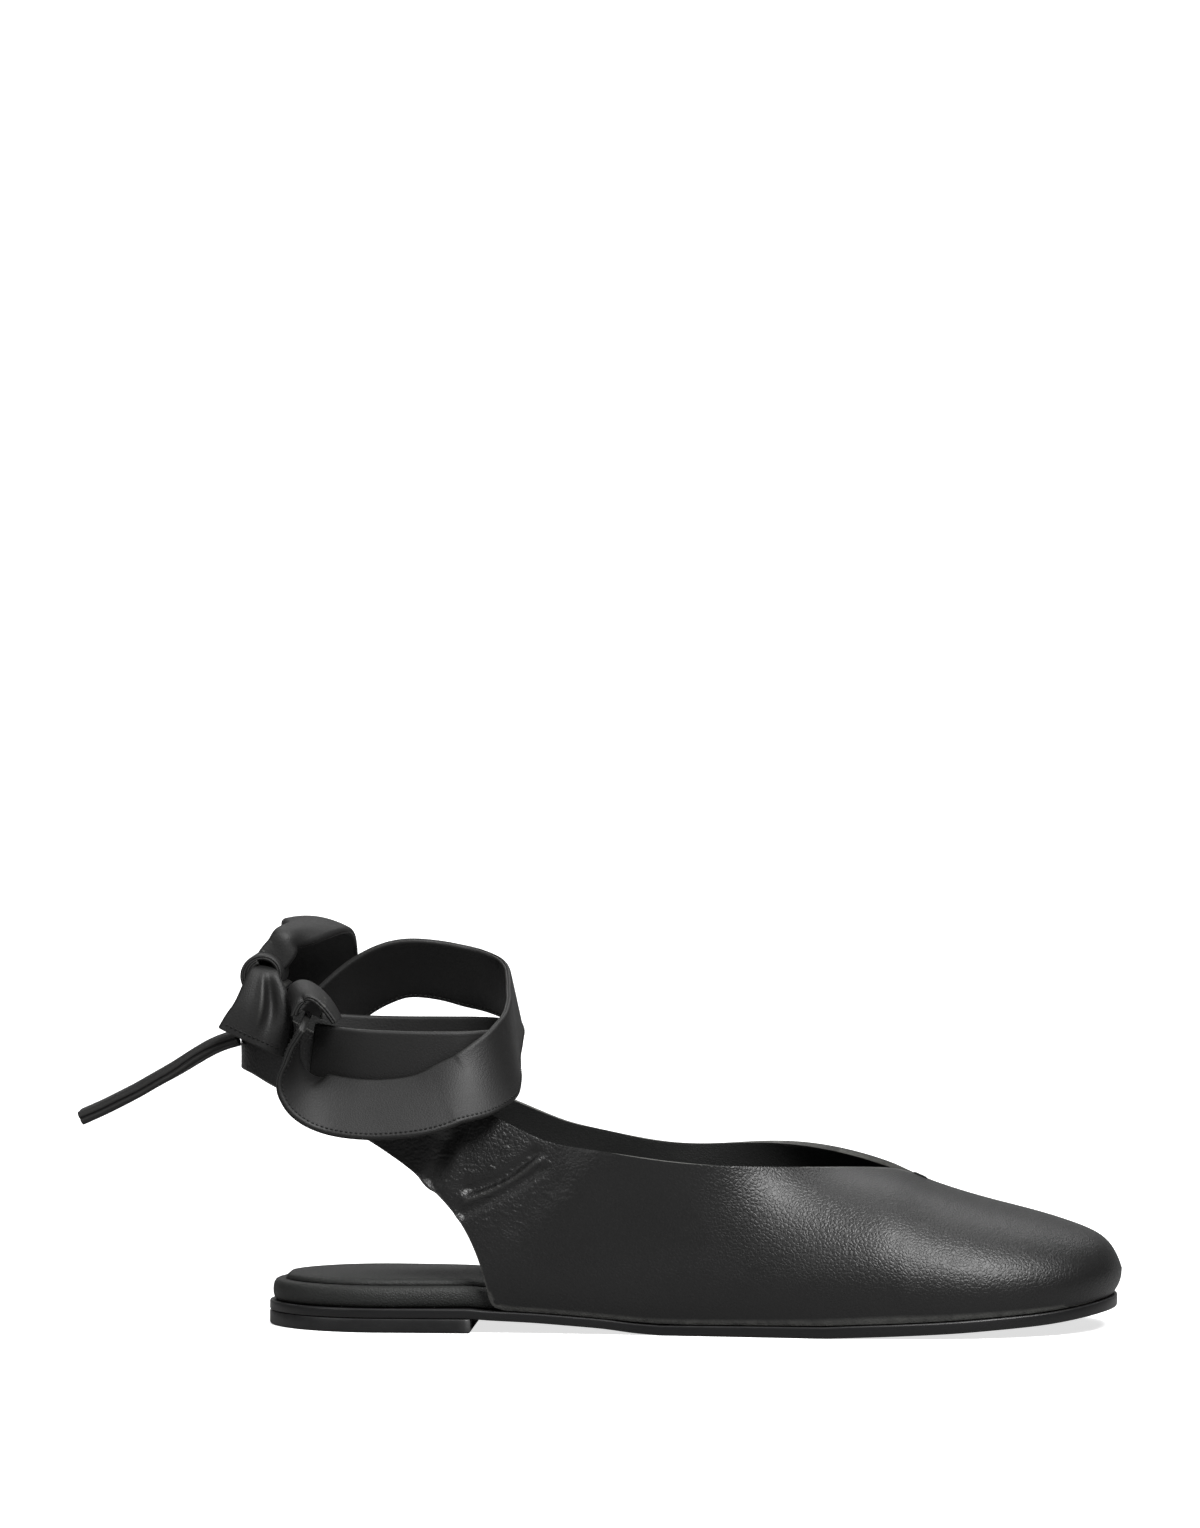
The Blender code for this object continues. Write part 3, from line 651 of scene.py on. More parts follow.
def upper_halves():
    """Both halves of the upper's outer face on fine grids: cubic B-spline sheets on their nets."""
    nets = [upper_net(side, *NET_COUNTS) for side in (-1, 1)]
    nets = relax(nets, NET_THROAT, 6)
    columns, rises = nets[0].shape[:2]
    along = soft_weights(columns, (columns - 1) * FINE_COLUMNS + 1)
    up = soft_weights(rises, (rises - 1) * FINE_RISES + 1)
    halves = []
    for own, other in (nets, nets[::-1]):
        wide = padded_net(own, other, NET_THROAT)
        halves.append(np.einsum("ai,bj,ijk->abk", along, up, wide))
    throat = NET_THROAT * FINE_COLUMNS
    ridge = (halves[0][throat:, -1] + halves[1][throat:, -1]) / 2
    halves[0][throat:, -1] = ridge
    halves[1][throat:, -1] = ridge
    return halves, throat


# Folds pressed into the near quarter, as station and height over throat height of three points,
# then height and half width in millimetres, troughs below zero
QUARTER_FOLDS = (
    ((0.318, 1.16), (0.282, 1.00), (0.243, 0.93), -1.25, 1.6),
    ((0.326, 1.06), (0.290, 0.93), (0.236, 0.78), -1.10, 1.5),
    ((0.322, 1.11), (0.286, 0.965), (0.240, 0.86), 0.75, 1.5),
    ((0.214, 1.24), (0.207, 1.10), (0.196, 0.96), -0.95, 2.4),
    ((0.230, 1.22), (0.224, 1.08), (0.214, 0.94), 0.60, 2.2),
    ((0.352, 0.98), (0.325, 0.86), (0.300, 0.70), -0.35, 3.0),
)
# Middle and reach of the part of the quarter that bends in wear, as station and height over
# throat height
FLEX_PLACE = (0.275, 0.96)
FLEX_REACH = (0.110, 0.42)


def fold_height(x, z, folds):
    """Sum of soft troughs and ridges: each is a bell curve of the distance to its line."""
    total = np.zeros_like(x)
    for first, middle, last, depth, width in folds:
        line = soft_curve(np.array((first, middle, last)) * (SHOE_LENGTH, THROAT_HEIGHT), 24)
        reach = np.sqrt((x[..., None] - line[:, 0]) ** 2 + (z[..., None] - line[:, 1]) ** 2)
        total += depth * MM * np.exp(-((reach.min(axis=-1) / (width * MM)) ** 2))
    return total


def make_upper(halves, looks):
    """Vamp and quarters with their back straps: both halves welded, given a wall and eased edges.
    The looks are the outer leather, the lining and the edge between them."""
    points = []
    faces = []
    uvs = []
    flex = []
    start = 0
    for number, sheet in enumerate(halves):
        x, z = sheet[:, :, 0], sheet[:, :, 2]
        along = (x / SHOE_LENGTH - FLEX_PLACE[0]) / FLEX_REACH[0]
        up = (z / THROAT_HEIGHT - FLEX_PLACE[1]) / FLEX_REACH[1]
        flex.append(np.exp(-(along**2) - up**2).ravel())
        if number == 0:
            across = np.arange(sheet.shape[1])
            edge = np.clip(across / 3, 0, 1) * np.clip((sheet.shape[1] - 1 - across) / 3, 0, 1)
            relief = fold_height(x, z, QUARTER_FOLDS) * edge
            sheet = sheet + sheet_normals(sheet) * relief[:, :, None]
        columns, rises = sheet.shape[:2]
        girth = np.cumsum(np.linalg.norm(np.diff(sheet, axis=1, prepend=sheet[:, :1]), axis=2), axis=1)
        length = np.broadcast_to(sheet[:, :, 0], girth.shape)
        points.append(sheet.reshape(-1, 3))
        uvs.append(np.stack((length, girth), axis=2).reshape(-1, 2))
        faces.append(grid_faces(columns, rises, start, flip=number == 1))
        start += columns * rises
    made = finish_mesh("upper_leather", np.vstack(points), np.vstack(faces), looks[0], uv=np.vstack(uvs))
    layer = made.data.attributes.new("flex", "FLOAT", "POINT")
    layer.data.foreach_set("value", np.concatenate(flex))
    for look in looks[1:]:
        made.data.materials.append(look)
    tidy_normals(made, merge=2e-5)
    wall = made.modifiers.new("wall", "SOLIDIFY")
    wall.thickness = WALL
    wall.offset = -1.0
    wall.use_even_offset = False
    wall.material_offset = 1
    wall.material_offset_rim = 2
    ease = made.modifiers.new("eased edges", "BEVEL")
    ease.width = EDGE_EASE
    ease.segments = 3
    ease.limit_method = "ANGLE"
    ease.angle_limit = math.radians(60)
    return made


TACK_START, TACK_LENGTH = 0.1 * MM, 4.4 * MM
TACK_WIDTH, TACK_RISE = 1.5 * MM, 0.7 * MM
TACK_TURNS = 11


def throat_tack(ridge, look):
    """Bar of thread at the throat's point: a flat oval carried along the vamp's ridge, which
    swells and narrows with every turn of the thread."""
    share = np.linspace(0, 1, TACK_TURNS * 8 + 1)
    centre = picked(TACK_START + share * TACK_LENGTH, run_of(ridge), ridge)
    swell = (0.86 + 0.14 * np.cos(share * TACK_TURNS * 2 * math.pi)) * np.sqrt(1.02 - (2 * share - 1) ** 6)
    turn = np.linspace(0, 2 * math.pi, 14, endpoint=False)
    rings = np.repeat(centre[:, None], len(turn), axis=1)
    rings[:, :, 1] += np.cos(turn) * TACK_WIDTH / 2 * swell[:, None]
    rings[:, :, 2] += np.sin(turn) * TACK_RISE * swell[:, None]
    return closed_loft("throat_tack", rings, look)


# Straps

WAVE_LENGTH = 45.0 * MM
END_EASE = 0.35 * MM
END_DRAW = 0.985


def ankle_plan(place, spread):
    """Points and plan normals round the ankle, place being the share of its girth from behind
    the heel, first along the outer side of the foot."""
    rows = np.array(ANKLE_PLAN) * (ANKLE_LENGTH, -ANKLE_WIDTH)
    other = rows[-2:0:-1] * (1, -1)
    ring = np.vstack((rows, other, rows[:1]))
    dense = flowing(np.vstack((ring[-2], ring, ring[1])), np.linspace(0, 1, 30 * (len(ring) + 1) + 1))
    dense = dense[30:-30]
    girth = run_of(dense)
    girth /= girth[-1]
    along = np.gradient(dense, axis=0)
    normal = unit(np.stack((along[:, 1], -along[:, 0]), axis=1))
    out = picked(place, girth, normal)
    return picked(place, girth, dense) + out * spread[:, None], out


def ring_path(rows, layer, count):
    """Centre points, width directions and width of a ring of the tie round the ankle."""
    place, height, lean, swing, spread = soft_curve(rows, count).T
    off = CLEARANCE + TIE_THICKNESS / 2 + layer * (TIE_THICKNESS + CLEARANCE) + spread * TIE_WIDTH
    plan, out = ankle_plan(place, off)
    centre = np.column_stack((plan, height * ANKLE_HEIGHT))
    round_way = np.column_stack((-out[:, 1], out[:, 0]))
    lean, swing = np.radians(lean), np.radians(swing)
    flat = out * np.cos(swing)[:, None] + round_way * np.sin(swing)[:, None]
    return centre, np.column_stack((flat * np.sin(lean)[:, None], np.cos(lean))), TIE_WIDTH


def bow_path(rows, count):
    """Centre points, width directions and widths of a piece of the bow, from the knot out."""
    made = soft_curve(rows, count)
    return made[:, 0:3] * TIE_WIDTH + KNOT_PLACE, made[:, 3:6], made[:, 6] * TIE_WIDTH


def strap_frame(centre, across):
    """Width and face directions square to the path: the face is the path's direction crossed
    with the width's."""
    along = unit(np.gradient(centre, axis=0))
    across = unit(across - along * np.sum(across * along, axis=1)[:, None])
    return across, np.cross(along, across)


def strap_rings(centre, across, width, thickness, wave=0.0, seed=1, bulge=None):
    """Closed sections of a leather strap along a path. The section is a flat box with round
    edges, each with a groove where the two plies meet; wave moves its edges, and bulge adds a
    height over the share along and across."""
    across, face = strap_frame(centre, across)
    count = len(centre)
    half = np.asarray(width) / 2 * np.ones(count)
    thick = np.asarray(thickness) / 2 * np.ones(count)
    flat = np.sin(np.linspace(-1, 1, 22) * 1.25) / math.sin(1.25)
    turn = np.radians((22.5, 45, 62, 76, 84, 90, 96, 104, 118, 135, 157.5))
    groove = np.array((0, 0, 0, 0.05, 0.25, 0.42, 0.25, 0.05, 0, 0, 0))
    length = run_of(centre)
    edge_wave = np.stack([noise_1d(length / WAVE_LENGTH, seed + k) for k in (0, 1)], axis=1) * wave
    rounds = []
    ease = thick * 0.95
    for sign in (1, -1):
        u = sign * flat[None, :] * (half - ease)[:, None]
        v = sign * np.broadcast_to(thick[:, None], u.shape)
        rounds.append(np.stack((u, v), axis=2))
        reach = 1 - groove[None, :]
        u = sign * ((half - ease)[:, None] + ease[:, None] * np.sin(turn) * reach)
        v = sign * thick[:, None] * np.cos(turn)
        rounds.append(np.stack((u, v), axis=2))
    section = np.concatenate(rounds, axis=1)
    u, v = section[..., 0], section[..., 1]
    share = u / half[:, None]
    lift = np.where(share > 0, edge_wave[:, :1], edge_wave[:, 1:]) * share**2
    if bulge is not None:
        lift = lift + bulge(np.linspace(0, 1, count)[:, None], share)
    v = v + lift
    points = centre[:, None] + across[:, None] * u[..., None] + face[:, None] * v[..., None]
    uv = np.stack((np.broadcast_to(length[:, None], u.shape), u), axis=2)
    return points, uv


def make_strap(name, path, thickness, look, replaced, **shape):
    """Strap along a path, its cut ends eased: each is closed by its last section drawn in and
    moved on a little."""
    centre, across, width = path
    rings, uv = strap_rings(centre, across, width, thickness, **shape)
    middle = rings.mean(axis=1, keepdims=True)
    forward = unit(np.gradient(centre, axis=0))[:, None] * END_EASE
    head = middle[:1] + (rings[:1] - middle[:1]) * END_DRAW - forward[:1]
    tail = middle[-1:] + (rings[-1:] - middle[-1:]) * END_DRAW + forward[-1:]
    rings = np.concatenate((head, rings, tail))
    uv = np.concatenate((uv[:1], uv, uv[-1:]))
    seat(closed_loft(name, rings, look, uv=uv.reshape(-1, 2)), "tie", replaced)


# Bow

WIND_TURNS = 1.60
WIND_STEP = 2.15 * MM
# Rows of the loop and of the hanging end inside the winding, before those of their tables
LOOP_START = (
    (-0.06, -0.16, 0.05, 0.80, 0.00, -0.60, 0.36),
    (0.04, -0.14, 0.14, 0.80, 0.00, -0.60, 0.42),
    (0.12, -0.13, 0.23, 0.80, 0.00, -0.60, 0.46),
)
END_START = (
    (0.03, -0.30, 0.10, 1.00, 0.00, -0.10, 0.38),
    (0.03, -0.48, 0.08, 1.00, 0.02, -0.12, 0.42),
    (0.02, -0.60, 0.00, 1.00, 0.05, -0.16, 0.48),
)


def knot_path(count):
    """Spiral of the tie wound round the knot, its width along Y: the radius grows evenly with
    the turn up to the knot's own."""
    turn = np.linspace(0, WIND_TURNS, count)
    radius = KNOT_RADIUS - TIE_THICKNESS / 2 - WIND_STEP * np.clip(WIND_TURNS - turn - 0.1, 0, 1)
    angle = turn * 2 * math.pi + math.radians(115)
    centre = np.stack((radius * np.cos(angle), 0 * angle, radius * np.sin(angle)), axis=1)
    across = np.tile((0.0, 1.0, 0.0), (count, 1))
    width = np.full(count, KNOT_LENGTH + 1.0 * MM)
    return centre + KNOT_PLACE, across, width


def end_bulge(along, across):
    """Hanging end: a hollow to one side of its middle with a ridge beside it, both fading at
    the ends, and edges that curl back."""
    window = np.exp(-(((along - 0.66) / 0.22) ** 2))
    hollow = -2.4 * np.exp(-(((across - 0.30) / 0.22) ** 2))
    ridge = 1.5 * np.exp(-(((across + 0.06) / 0.15) ** 2))
    return ((hollow + ridge) * window - 1.6 * across**4 * np.clip(along * 1.5, 0, 1)) * MM


def loop_bulge(along, across):
    """Loop: its edges hang below its middle, least where it leaves the knot."""
    return 2.2 * across**2 * np.clip(along * 3 - 0.3, 0, 1) * MM


def tail_bulge(along, across):
    """Tail folded lengthwise: a step where the upper fold ends over the lower one."""
    return 0.9 * MM * np.tanh(across * 5) * (1 - along)


# Stitches

STITCH_PITCH = 1.45 * MM
STITCH_THREAD = 0.62 * MM
STITCH_PROUD = 0.12 * MM
STITCH_MARGIN = 1.4 * MM
STITCH_FILL = 0.62
SEAM_SHARE = (0.02, 0.98)
END_MARGIN = 1.6 * MM


def stitch_row(name, points, outward, look):
    """Row of short rounded threads along a path: each is a swept ellipse whose thickness
    follows half a sine, laid on the side that outward points to."""
    run = run_of(points)
    count = int(run[-1] / STITCH_PITCH)
    starts = (np.arange(count) + 0.5 * (1 - STITCH_FILL)) * STITCH_PITCH
    where = starts[:, None] + np.linspace(0, STITCH_FILL * STITCH_PITCH, 5)[None]
    centre = picked(where, run, points)
    out = unit(picked(where, run, outward))
    along = unit(np.gradient(centre, axis=1))
    side = np.cross(along, out)
    swell = 0.5 * STITCH_THREAD * np.sin(np.linspace(0.14, 0.86, 5) * math.pi)[None, :, None, None]
    angle = np.linspace(0, 2 * math.pi, 6, endpoint=False)[None, None, :, None]
    spoke = out[:, :, None] * np.sin(angle) * 0.8 + side[:, :, None] * np.cos(angle)
    rings = centre[:, :, None] + spoke * swell
    body = grid_faces(5, 6, wrap=True)
    cap = np.array(((0, 5, 4, 3), (0, 3, 2, 1)))
    one = np.vstack((body[:, ::-1], cap[:, ::-1], cap + 24))
    faces = (one[None] + (np.arange(count) * 30)[:, None, None]).reshape(-1, 4)
    seat(finish_mesh(name, rings.reshape(-1, 3), faces, look), "tie")


def strap_seam(name, path, look, faces=(1, -1)):
    """Stitches along a strap's lower edge, on its outer and its inner face."""
    centre, across, width = path
    across, face = strap_frame(centre, across)
    keep = slice(int(SEAM_SHARE[0] * len(centre)), int(SEAM_SHARE[1] * len(centre)))
    for side in faces:
        outward = face * side
        points = centre + across * (STITCH_MARGIN - width / 2)
        points = points + outward * (TIE_THICKNESS / 2 + STITCH_PROUD)
        tag = "outer" if side > 0 else "inner"
        stitch_row(f"{name}_{tag}_stitches", points[keep], outward[keep], look)


def end_seam(path, bulge, look):
    """Stitches across the hanging end, beside its cut edge, on its outer face."""
    centre, across, width = path
    across, face = strap_frame(centre, across)
    row = len(centre) - 1 - int(np.searchsorted(run_of(centre[::-1]), END_MARGIN))
    share = np.linspace(-0.86, 0.86, 40)
    lift = TIE_THICKNESS / 2 + STITCH_PROUD + bulge(row / (len(centre) - 1), share)
    points = centre[row] + across[row] * share[:, None] * width[row] / 2 + face[row] * lift[:, None]
    stitch_row("hanging_end_stitches", points, np.tile(face[row], (len(share), 1)), look)


# Materials

# Leathers: colour, worn colour, roughness, share of pebble, cells a metre and depth of the grain,
# and where they differ pointiness at which wear starts, depth of the wrinkles, and height under
# which the colour is painted black as shade along the upper's joint with the sole
WEAR_START = 0.53
LEATHERS = {
    "grained nappa": ((0.0058, 0.0058, 0.0058), (0.08, 0.08, 0.075), 0.41, 1.0, 900.0, 0.22, WEAR_START, 0.8),
    "tie leather": ((0.0050, 0.0049, 0.0048), (0.07, 0.07, 0.065), 0.56, 0.5, 1200.0, 0.20),
    "lining leather": ((0.0050, 0.0053, 0.0050), (0.03, 0.03, 0.03), 0.60, 0.5, 1500.0, 0.30),
    # Cut edge: below 14 mm its colour is painted black as shade, where the upper's edge meets the sole
    "cut edge": ((0.022, 0.022, 0.020), (0.12, 0.12, 0.11), 0.55, 0.6, 1800.0, 0.40, 0.50, 0.0, 14.0 * MM),
    "footbed leather": ((0.012, 0.013, 0.012), (0.06, 0.06, 0.055), 0.56, 0.8, 1300.0, 0.40),
    "sole edge": ((0.005, 0.005, 0.0054), (0.08, 0.08, 0.08), 0.38, 0.15, 900.0, 0.15),
    "black thread": ((0.0015, 0.0015, 0.0015), (0.01, 0.01, 0.01), 0.70, 0.3, 3000.0, 0.30),
}
LEATHER_IOR = 1.48
GRAIN_DEPTH = 0.28 * MM
WRINKLE_DEPTH = 0.42 * MM
# Painted shade: the black laid on the cut edge in the crevice along the sole
PAINTED_SHADE_BLACK = (0.004, 0.004, 0.004)


def colour(value):
    return (*value, 1.0)


def feed(tree, socket, value):
    """Sets a socket, or links it where the value is another node's output."""
    if isinstance(value, bpy.types.NodeSocket):
        tree.links.new(value, socket)
    else:
        socket.default_value = value


def node(tree, kind, settings=None, **inputs):
    """Shader node with its settings, its inputs given by name with _ for a space."""
    made = tree.nodes.new("ShaderNode" + kind)
    for name, value in (settings or {}).items():
        setattr(made, name, value)
    for name, value in inputs.items():
        feed(tree, made.inputs[name.replace("_", " ")], value)
    return made


def joined(tree, kind, *values, **settings):
    """First output of a shader node whose inputs are given in order."""
    made = node(tree, kind, settings)
    for socket, value in zip(made.inputs, values):
        feed(tree, socket, value)
    return made.outputs[0]


def blended(tree, factor, first, second):
    return node(tree, "Mix", {"data_type": "RGBA"}, Factor=factor, A=first, B=second).outputs["Result"]


def new_material(name):
    made = bpy.data.materials.new(name)
    made.use_nodes = True
    return made, made.node_tree


def new_group(name, inputs, outputs):
    """Node group with a vector and number inputs, and number outputs, and its inner sockets."""
    tree = bpy.data.node_groups.new(name, "ShaderNodeTree")
    tree.interface.new_socket("Vector", in_out="INPUT", socket_type="NodeSocketVector")
    for label, value in inputs.items():
        socket = tree.interface.new_socket(label, in_out="INPUT", socket_type="NodeSocketFloat")
        socket.default_value = value
    for label in outputs:
        tree.interface.new_socket(label, in_out="OUTPUT", socket_type="NodeSocketFloat")
    return tree, tree.nodes.new("NodeGroupInput").outputs, tree.nodes.new("NodeGroupOutput").inputs


def grain_group():
    """Leather grain: cells of pebble and finer pores as one height, with a slow mottle."""
    tree, start, end = new_group(
        "leather grain", {"Pebble": 1.0, "Pebble Scale": 900.0, "Pore Scale": 2600.0}, ("Height", "Mottle"))
    place = start["Vector"]
    warp = node(tree, "TexNoise", Vector=place, Scale=260.0, Detail=2.0).outputs["Color"]
    bent = joined(tree, "VectorMath", warp, (0.0009, 0.0009, 0.0009), place, operation="MULTIPLY_ADD")
    cells = node(tree, "TexVoronoi", {"feature": "DISTANCE_TO_EDGE"},
                 Vector=bent, Scale=start["Pebble Scale"])
    rounded = node(tree, "MapRange", {"interpolation_type": "SMOOTHSTEP"},
                   Value=cells.outputs["Distance"], From_Max=0.30).outputs["Result"]
    pores = node(tree, "TexNoise", Vector=place, Scale=start["Pore Scale"], Detail=3.0, Roughness=0.6)
    pebbles = joined(tree, "Math", rounded, start["Pebble"], operation="MULTIPLY")
    height = joined(tree, "Math", pores.outputs["Fac"], 0.45, pebbles, operation="MULTIPLY_ADD")
    feed(tree, end["Height"], height)
    slow = node(tree, "TexNoise", Vector=place, Scale=38.0, Detail=4.0, Roughness=0.55)
    feed(tree, end["Mottle"], slow.outputs["Fac"])
    return tree


def wear_group():
    """Wear along edges: Geometry's pointiness, stretched and broken up by noise."""
    tree, start, end = new_group("edge wear", {"Start": WEAR_START}, ("Wear",))
    stop = joined(tree, "Math", start["Start"], 0.08, operation="ADD")
    pointed = node(tree, "NewGeometry").outputs["Pointiness"]
    edge = node(tree, "MapRange", Value=pointed, From_Min=start["Start"], From_Max=stop).outputs["Result"]
    patch = node(tree, "TexNoise", Vector=start["Vector"], Scale=320.0, Detail=3.0).outputs["Fac"]
    feed(tree, end["Wear"], joined(tree, "Math", edge, patch, operation="MULTIPLY"))
    return tree


def leather(name, groups, base, worn, rough, pebble, scale, depth, wear_start=WEAR_START, crumple=0.0,
            painted_shade_below=0.0):
    """Black leather: grain as bump, mottled base colour and roughness, paler worn edges. With
    crumple, fine wrinkles deepen the grain where the mesh's flex attribute is high. With a
    height for painted shade, the colour is blackened under that height: painted shade along the
    crevice where the upper's edge meets the sole."""
    made, tree = new_material(name)
    shader = tree.nodes["Principled BSDF"].inputs
    shader["IOR"].default_value = LEATHER_IOR
    place = node(tree, "TexCoord").outputs["Object"]
    grain = node(tree, "Group", {"node_tree": groups["grain"]},
                 Vector=place, Pebble=pebble, Pebble_Scale=scale).outputs
    wear = node(tree, "Group", {"node_tree": groups["wear"]}, Vector=place, Start=wear_start).outputs["Wear"]
    dark, light = (colour([c * share for c in base]) for share in (0.75, 1.30))
    skin = blended(tree, wear, blended(tree, grain["Mottle"], dark, light), colour(worn))
    # Painted shade: the colour is blackened below the given height, along the crevice where the upper's edge
    # meets the sole
    if painted_shade_below:
        height = node(tree, "SeparateXYZ", Vector=place).outputs["Z"]
        rise = node(tree, "MapRange", Value=height, From_Min=painted_shade_below * 0.7, From_Max=painted_shade_below)
        skin = blended(tree, rise.outputs["Result"], colour(PAINTED_SHADE_BLACK), skin)
    feed(tree, shader["Base Color"], skin)
    gloss = node(tree, "MapRange", Value=grain["Mottle"], To_Min=rough - 0.07, To_Max=rough + 0.08)
    feed(tree, shader["Roughness"], gloss.outputs["Result"])
    relief = node(tree, "Bump", Strength=depth, Distance=GRAIN_DEPTH, Height=grain["Height"])
    feed(tree, shader["Normal"], relief.outputs["Normal"])
    if crumple:
        flex = node(tree, "Attribute", {"attribute_name": "flex"}).outputs["Fac"]
        turned = node(tree, "Mapping", Vector=place, Scale=(1.0, 1.0, 1.7),
                      Rotation=(0.0, math.radians(35), 0.0)).outputs["Vector"]
        folds = node(tree, "TexNoise", {"noise_type": "RIDGED_MULTIFRACTAL"},
                     Vector=turned, Scale=330.0, Detail=4.0, Roughness=0.62).outputs["Fac"]
        deep = joined(tree, "Math", folds, flex, operation="MULTIPLY")
        wrinkle = node(tree, "Bump", Strength=crumple, Distance=WRINKLE_DEPTH, Height=deep)
        feed(tree, relief.inputs["Normal"], wrinkle.outputs["Normal"])
    return made


def paper(name, base, glow, bounce):
    """Floor and backdrop: matt paper with a faint glow where it is seen straight on, and a darker
    matt for the light that it throws back on the shoe."""
    made, tree = new_material(name)
    tree.nodes.remove(tree.nodes["Principled BSDF"])
    matt, thrown = (joined(tree, "BsdfDiffuse", colour((value,) * 3)) for value in (base, bounce))
    lit = node(tree, "Emission", Strength=glow).outputs["Emission"]
    seen = joined(tree, "AddShader", matt, lit)
    straight = node(tree, "LightPath").outputs["Is Camera Ray"]
    both = joined(tree, "MixShader", straight, thrown, seen)
    feed(tree, tree.nodes["Material Output"].inputs["Surface"], both)
    return made


# Studio

# Softboxes: place and aim in metres from the heel, size in metres, power in watts
LIGHT_AIM = (0.07, 0.0, 0.04)
LIGHTS = {
    "key": ((0.70, -0.95, 1.25), LIGHT_AIM, (0.8, 0.5), 36.0),
    "fill": ((-1.1, -0.9, 0.9), LIGHT_AIM, (0.8, 0.8), 5.0),
    "top": ((0.0, 0.15, 1.6), LIGHT_AIM, (1.6, 0.8), 10.0),
    "sweep": ((0.1, 2.2, 2.6), (0.1, 3.4, 0.2), (4.0, 1.0), 90.0),
}
WORLD_STRENGTH = 0.10


def make_stage():
    """Pale floor with a curved rise behind it: an arc between two straight runs."""
    bend = np.linspace(0.1, math.pi / 2, 12)
    depth = np.concatenate((np.linspace(-4.0, 3.0, 8), 3.0 + np.sin(bend) * 1.2, np.full(4, 4.2)))
    rise = np.concatenate((np.zeros(8), 1.2 - np.cos(bend) * 1.2, np.linspace(1.6, 5.0, 4)))
    x = np.repeat(np.array((-5.0, 5.0)) - REAR, len(depth))
    points = np.column_stack((x, np.tile(depth, 2), np.tile(rise, 2)))
    look = paper("pale paper", 0.90, 0.72, 0.30)
    finish_mesh("floor", points, grid_faces(2, len(depth)), look)


def make_lights():
    world = bpy.data.worlds.new("studio")
    world.use_nodes = True
    background = world.node_tree.nodes["Background"].inputs
    background["Color"].default_value = (1.0, 1.0, 1.0, 1.0)
    background["Strength"].default_value = WORLD_STRENGTH
    bpy.context.scene.world = world
    bpy.context.scene.view_settings.view_transform = "Standard"
    for name, (place, aim, size, power) in LIGHTS.items():
        light = bpy.data.lights.new(name, "AREA")
        light.shape = "RECTANGLE"
        light.size, light.size_y = size
        light.energy = power
        made = add(name, light)
        made.location = Vector(place)
        made.rotation_euler = (Vector(aim) - Vector(place)).to_track_quat("-Z", "Y").to_euler()


def make_camera():
    """Camera far off, so that its lens is long; the picture's middle looks at the aim."""
    lens = bpy.data.cameras.new("camera")
    lens.sensor_fit = "VERTICAL"
    lens.sensor_height = 36.0
    lens.lens = PIXELS_PER_MM * 1000 * CAMERA_DISTANCE / IMAGE_SIZE[1] * lens.sensor_height
    lens.clip_end = 50.0
    camera = add("camera", lens)
    azimuth, elevation = math.radians(CAMERA_AZIMUTH), math.radians(CAMERA_ELEVATION)
    flat = math.cos(elevation)
    back = Vector((math.sin(azimuth) * flat, -math.cos(azimuth) * flat, math.sin(elevation)))
    camera.location = Vector(AIM) + Vector((REAR, 0.0, 0.0)) + back * CAMERA_DISTANCE
    camera.rotation_euler = (-back).to_track_quat("-Z", "Y").to_euler()
    bpy.context.scene.camera = camera


# Shoe

# Profiles from the lower to the upper face: inset in millimetres, share of the height, and for
# the outsole a lift in millimetres
SOLE_ROWS = (
    (0.55, 0.0, 0.0),
    (0.12, 0.0, 0.10),
    (0.0, 0.0, 0.45),
    (0.0, 0.5, 0.0),
    (0.0, 1.0, -0.5),
    (0.12, 1.0, -0.14),
    (0.5, 1.0, 0.0),
)
HEEL_ROWS = ((0.7, 0.0), (0.2, 0.03), (0.0, 0.14), (0.0, 0.9), (0.15, 0.98), (0.5, 1.0))
BED_ROWS = (
    (2.0, 0.0),
    (0.9, 0.02),
    (0.35, 0.12),
    (0.08, 0.28),
    (0.0, 0.45),
    (0.05, 0.62),
    (0.3, 0.80),
    (0.85, 0.93),
    (1.6, 0.985),
    (2.6, 1.0),
)
SOCK_ROWS = ((0.4, 0.0), (0.1, 0.10), (0.0, 0.30), (0.12, 0.55), (0.5, 0.78), (1.2, 0.92), (2.6, 1.0))
SOCK_CROWN = 0.3 * MM
SOLE_STATIONS = 161
SOCK_STATIONS = slice(6, -3)
BREAST_GAP = 0.004
KNOT_THICKNESS = 1.8 * MM
TAIL_THICKNESS = 4.2 * MM


def profile(rows, bottom, top, inset=0.0):
    """Rows of a plate's profile as an inset and a height as a function of the station."""
    made = []
    for row in rows:
        lift = row[2] * MM if len(row) > 2 else 0.0
        made.append((row[0] * MM + inset, heights(bottom, top, row[1], lift)))
    return made


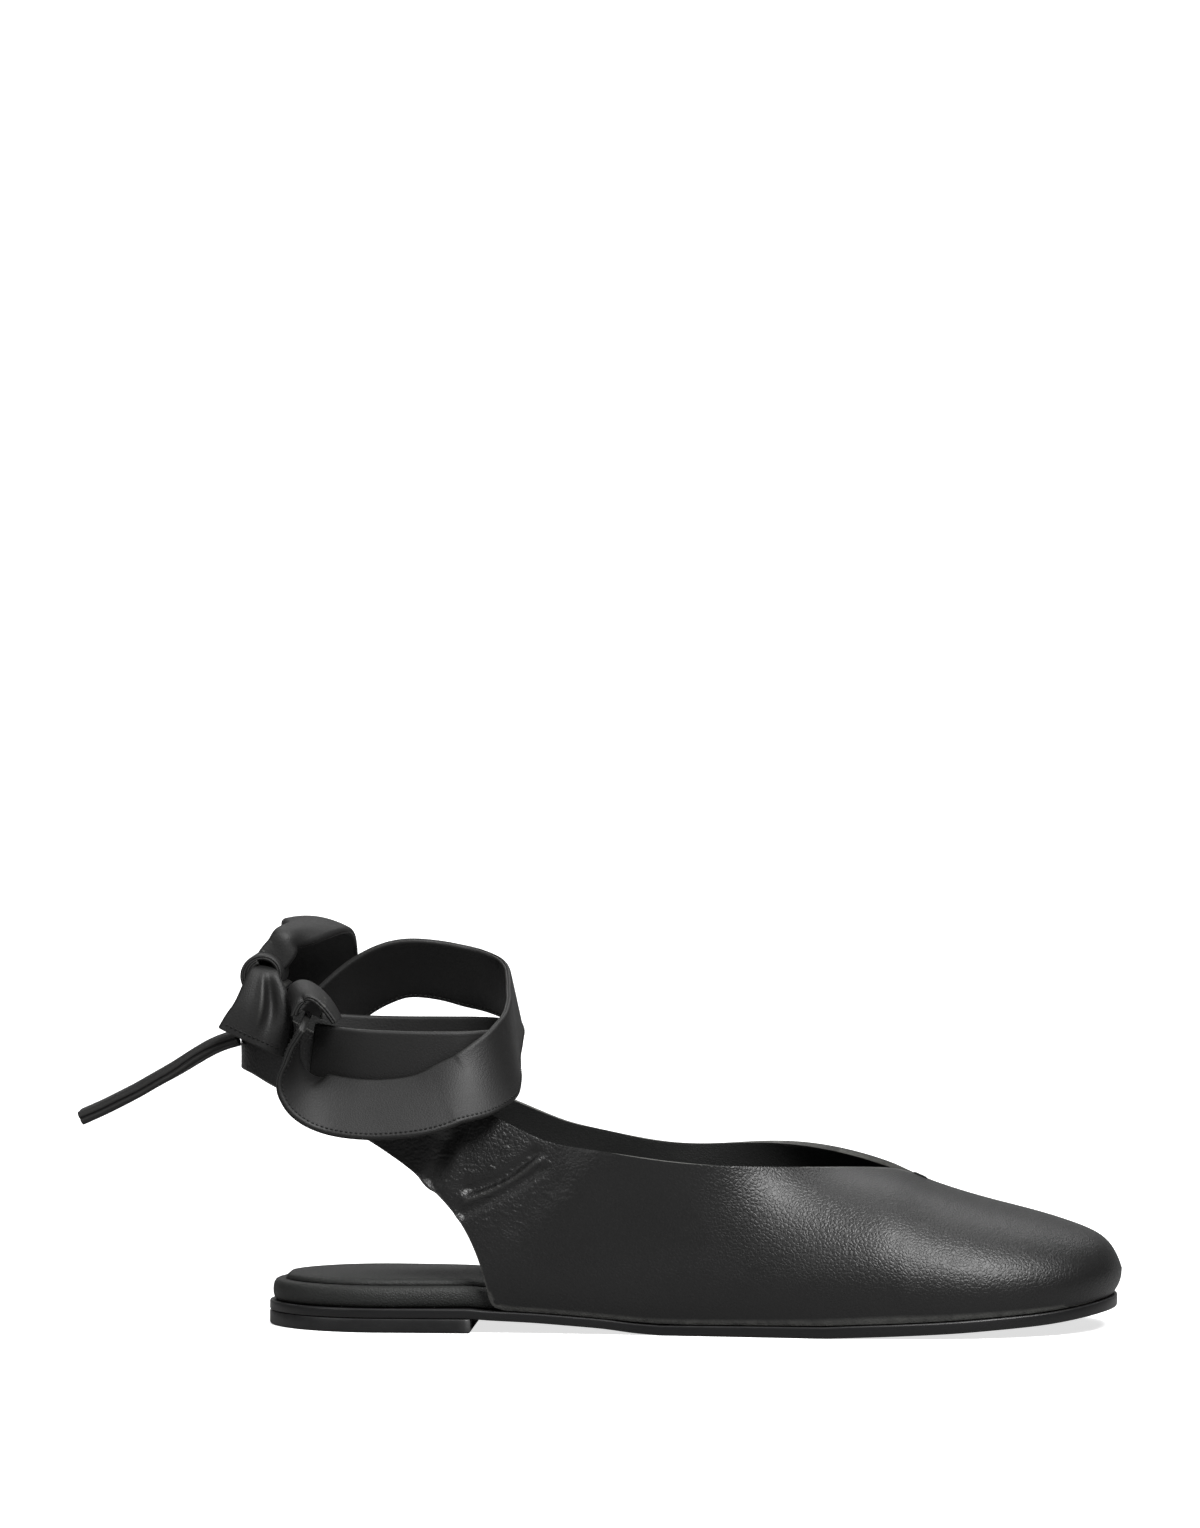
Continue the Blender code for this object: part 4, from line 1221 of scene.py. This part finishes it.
def make_sole(edge_look, hide):
    """Outsole, heel block, wrapped footbed and sock, each a plate with the sole's outline."""
    full = end_spaced(SOLE_STATIONS)
    outsole = plate("outsole_leather", full, profile(SOLE_ROWS, underside, outsole_top), edge_look)
    seat(outsole, "sole", "outsole")
    breast = HEEL_LENGTH / (SHOE_LENGTH - SIDE_BULGE)
    heel_at = np.append(full[full < breast - BREAST_GAP], breast)
    lid = lambda station: np.full_like(station, ARCH_RISE - 0.12 * MM)
    block = plate("heel_block", heel_at, profile(HEEL_ROWS, np.zeros_like, lid), edge_look, square_end=True)
    seat(block, "sole", "heel")
    bed_at = full[full < BED_END]
    bed_rows = profile(BED_ROWS, lambda station: outsole_top(station) + 0.1 * MM, footbed_top)
    bed = plate("footbed_wrap", bed_at, bed_rows, hide, clearance=bed_clearance, square_end=True)
    seat(bed, "footbed", "footbed")
    sock_rows = profile(
        SOCK_ROWS, lambda station: footbed_top(station) - 0.2 * MM,
        lambda station: footbed_top(station) + SOCK_THICKNESS, SOCK_INSET)
    sock = plate("sock_lining", bed_at[SOCK_STATIONS], sock_rows, hide, clearance=bed_clearance, square_end=True,
                 crown=SOCK_CROWN)
    seat(sock, "footbed", "sock_pad")


def make_ties(hide, thread):
    """Both rings, the knot with its loop, hanging end and tail, the fold, and their stitches."""
    low_way = ring_path(LOW_RING, 0, 200)
    high_way = ring_path(HIGH_RING, 1, 260)
    end_way = bow_path(END_START + END, 110)
    loop_way = bow_path(LOOP_START + LOOP, 150)
    thick = TIE_THICKNESS
    make_strap("low_ring", low_way, thick, hide, "ankle_wrap_low", wave=0.10 * MM, seed=3)
    make_strap("high_ring", high_way, thick, hide, "ankle_wrap_high", wave=0.12 * MM, seed=5)
    make_strap("wound_knot", knot_path(180), KNOT_THICKNESS, hide, "bow_knot", wave=0.15 * MM, seed=7)
    make_strap("standing_loop", loop_way, thick, hide, "bow_loop", bulge=loop_bulge, seed=9)
    make_strap("hanging_end", end_way, thick, hide, "bow_end", bulge=end_bulge, seed=11)
    make_strap("tie_fold_leather", bow_path(FOLD, 80), thick, hide, "tie_fold", seed=13)
    make_strap("long_tail", bow_path(TAIL, 160), TAIL_THICKNESS, hide, "tie_tail",
               bulge=tail_bulge, wave=0.3 * MM, seed=15)
    strap_seam("high_ring", high_way, thread)
    strap_seam("low_ring", low_way, thread, faces=(1,))
    end_seam(end_way, end_bulge, thread)


def main():
    groups = {"grain": grain_group(), "wear": wear_group()}
    looks = {name: leather(name, groups, *row) for name, row in LEATHERS.items()}
    make_sole(looks["sole edge"], looks["footbed leather"])
    halves, throat = upper_halves()
    upper_looks = looks["grained nappa"], looks["lining leather"], looks["cut edge"]
    seat(make_upper(halves, upper_looks), "upper", "upper")
    seat(throat_tack(halves[0][throat:, -1], looks["black thread"]), "upper")
    make_ties(looks["tie leather"], looks["black thread"])
    make_stage()
    make_lights()
    make_camera()


main()
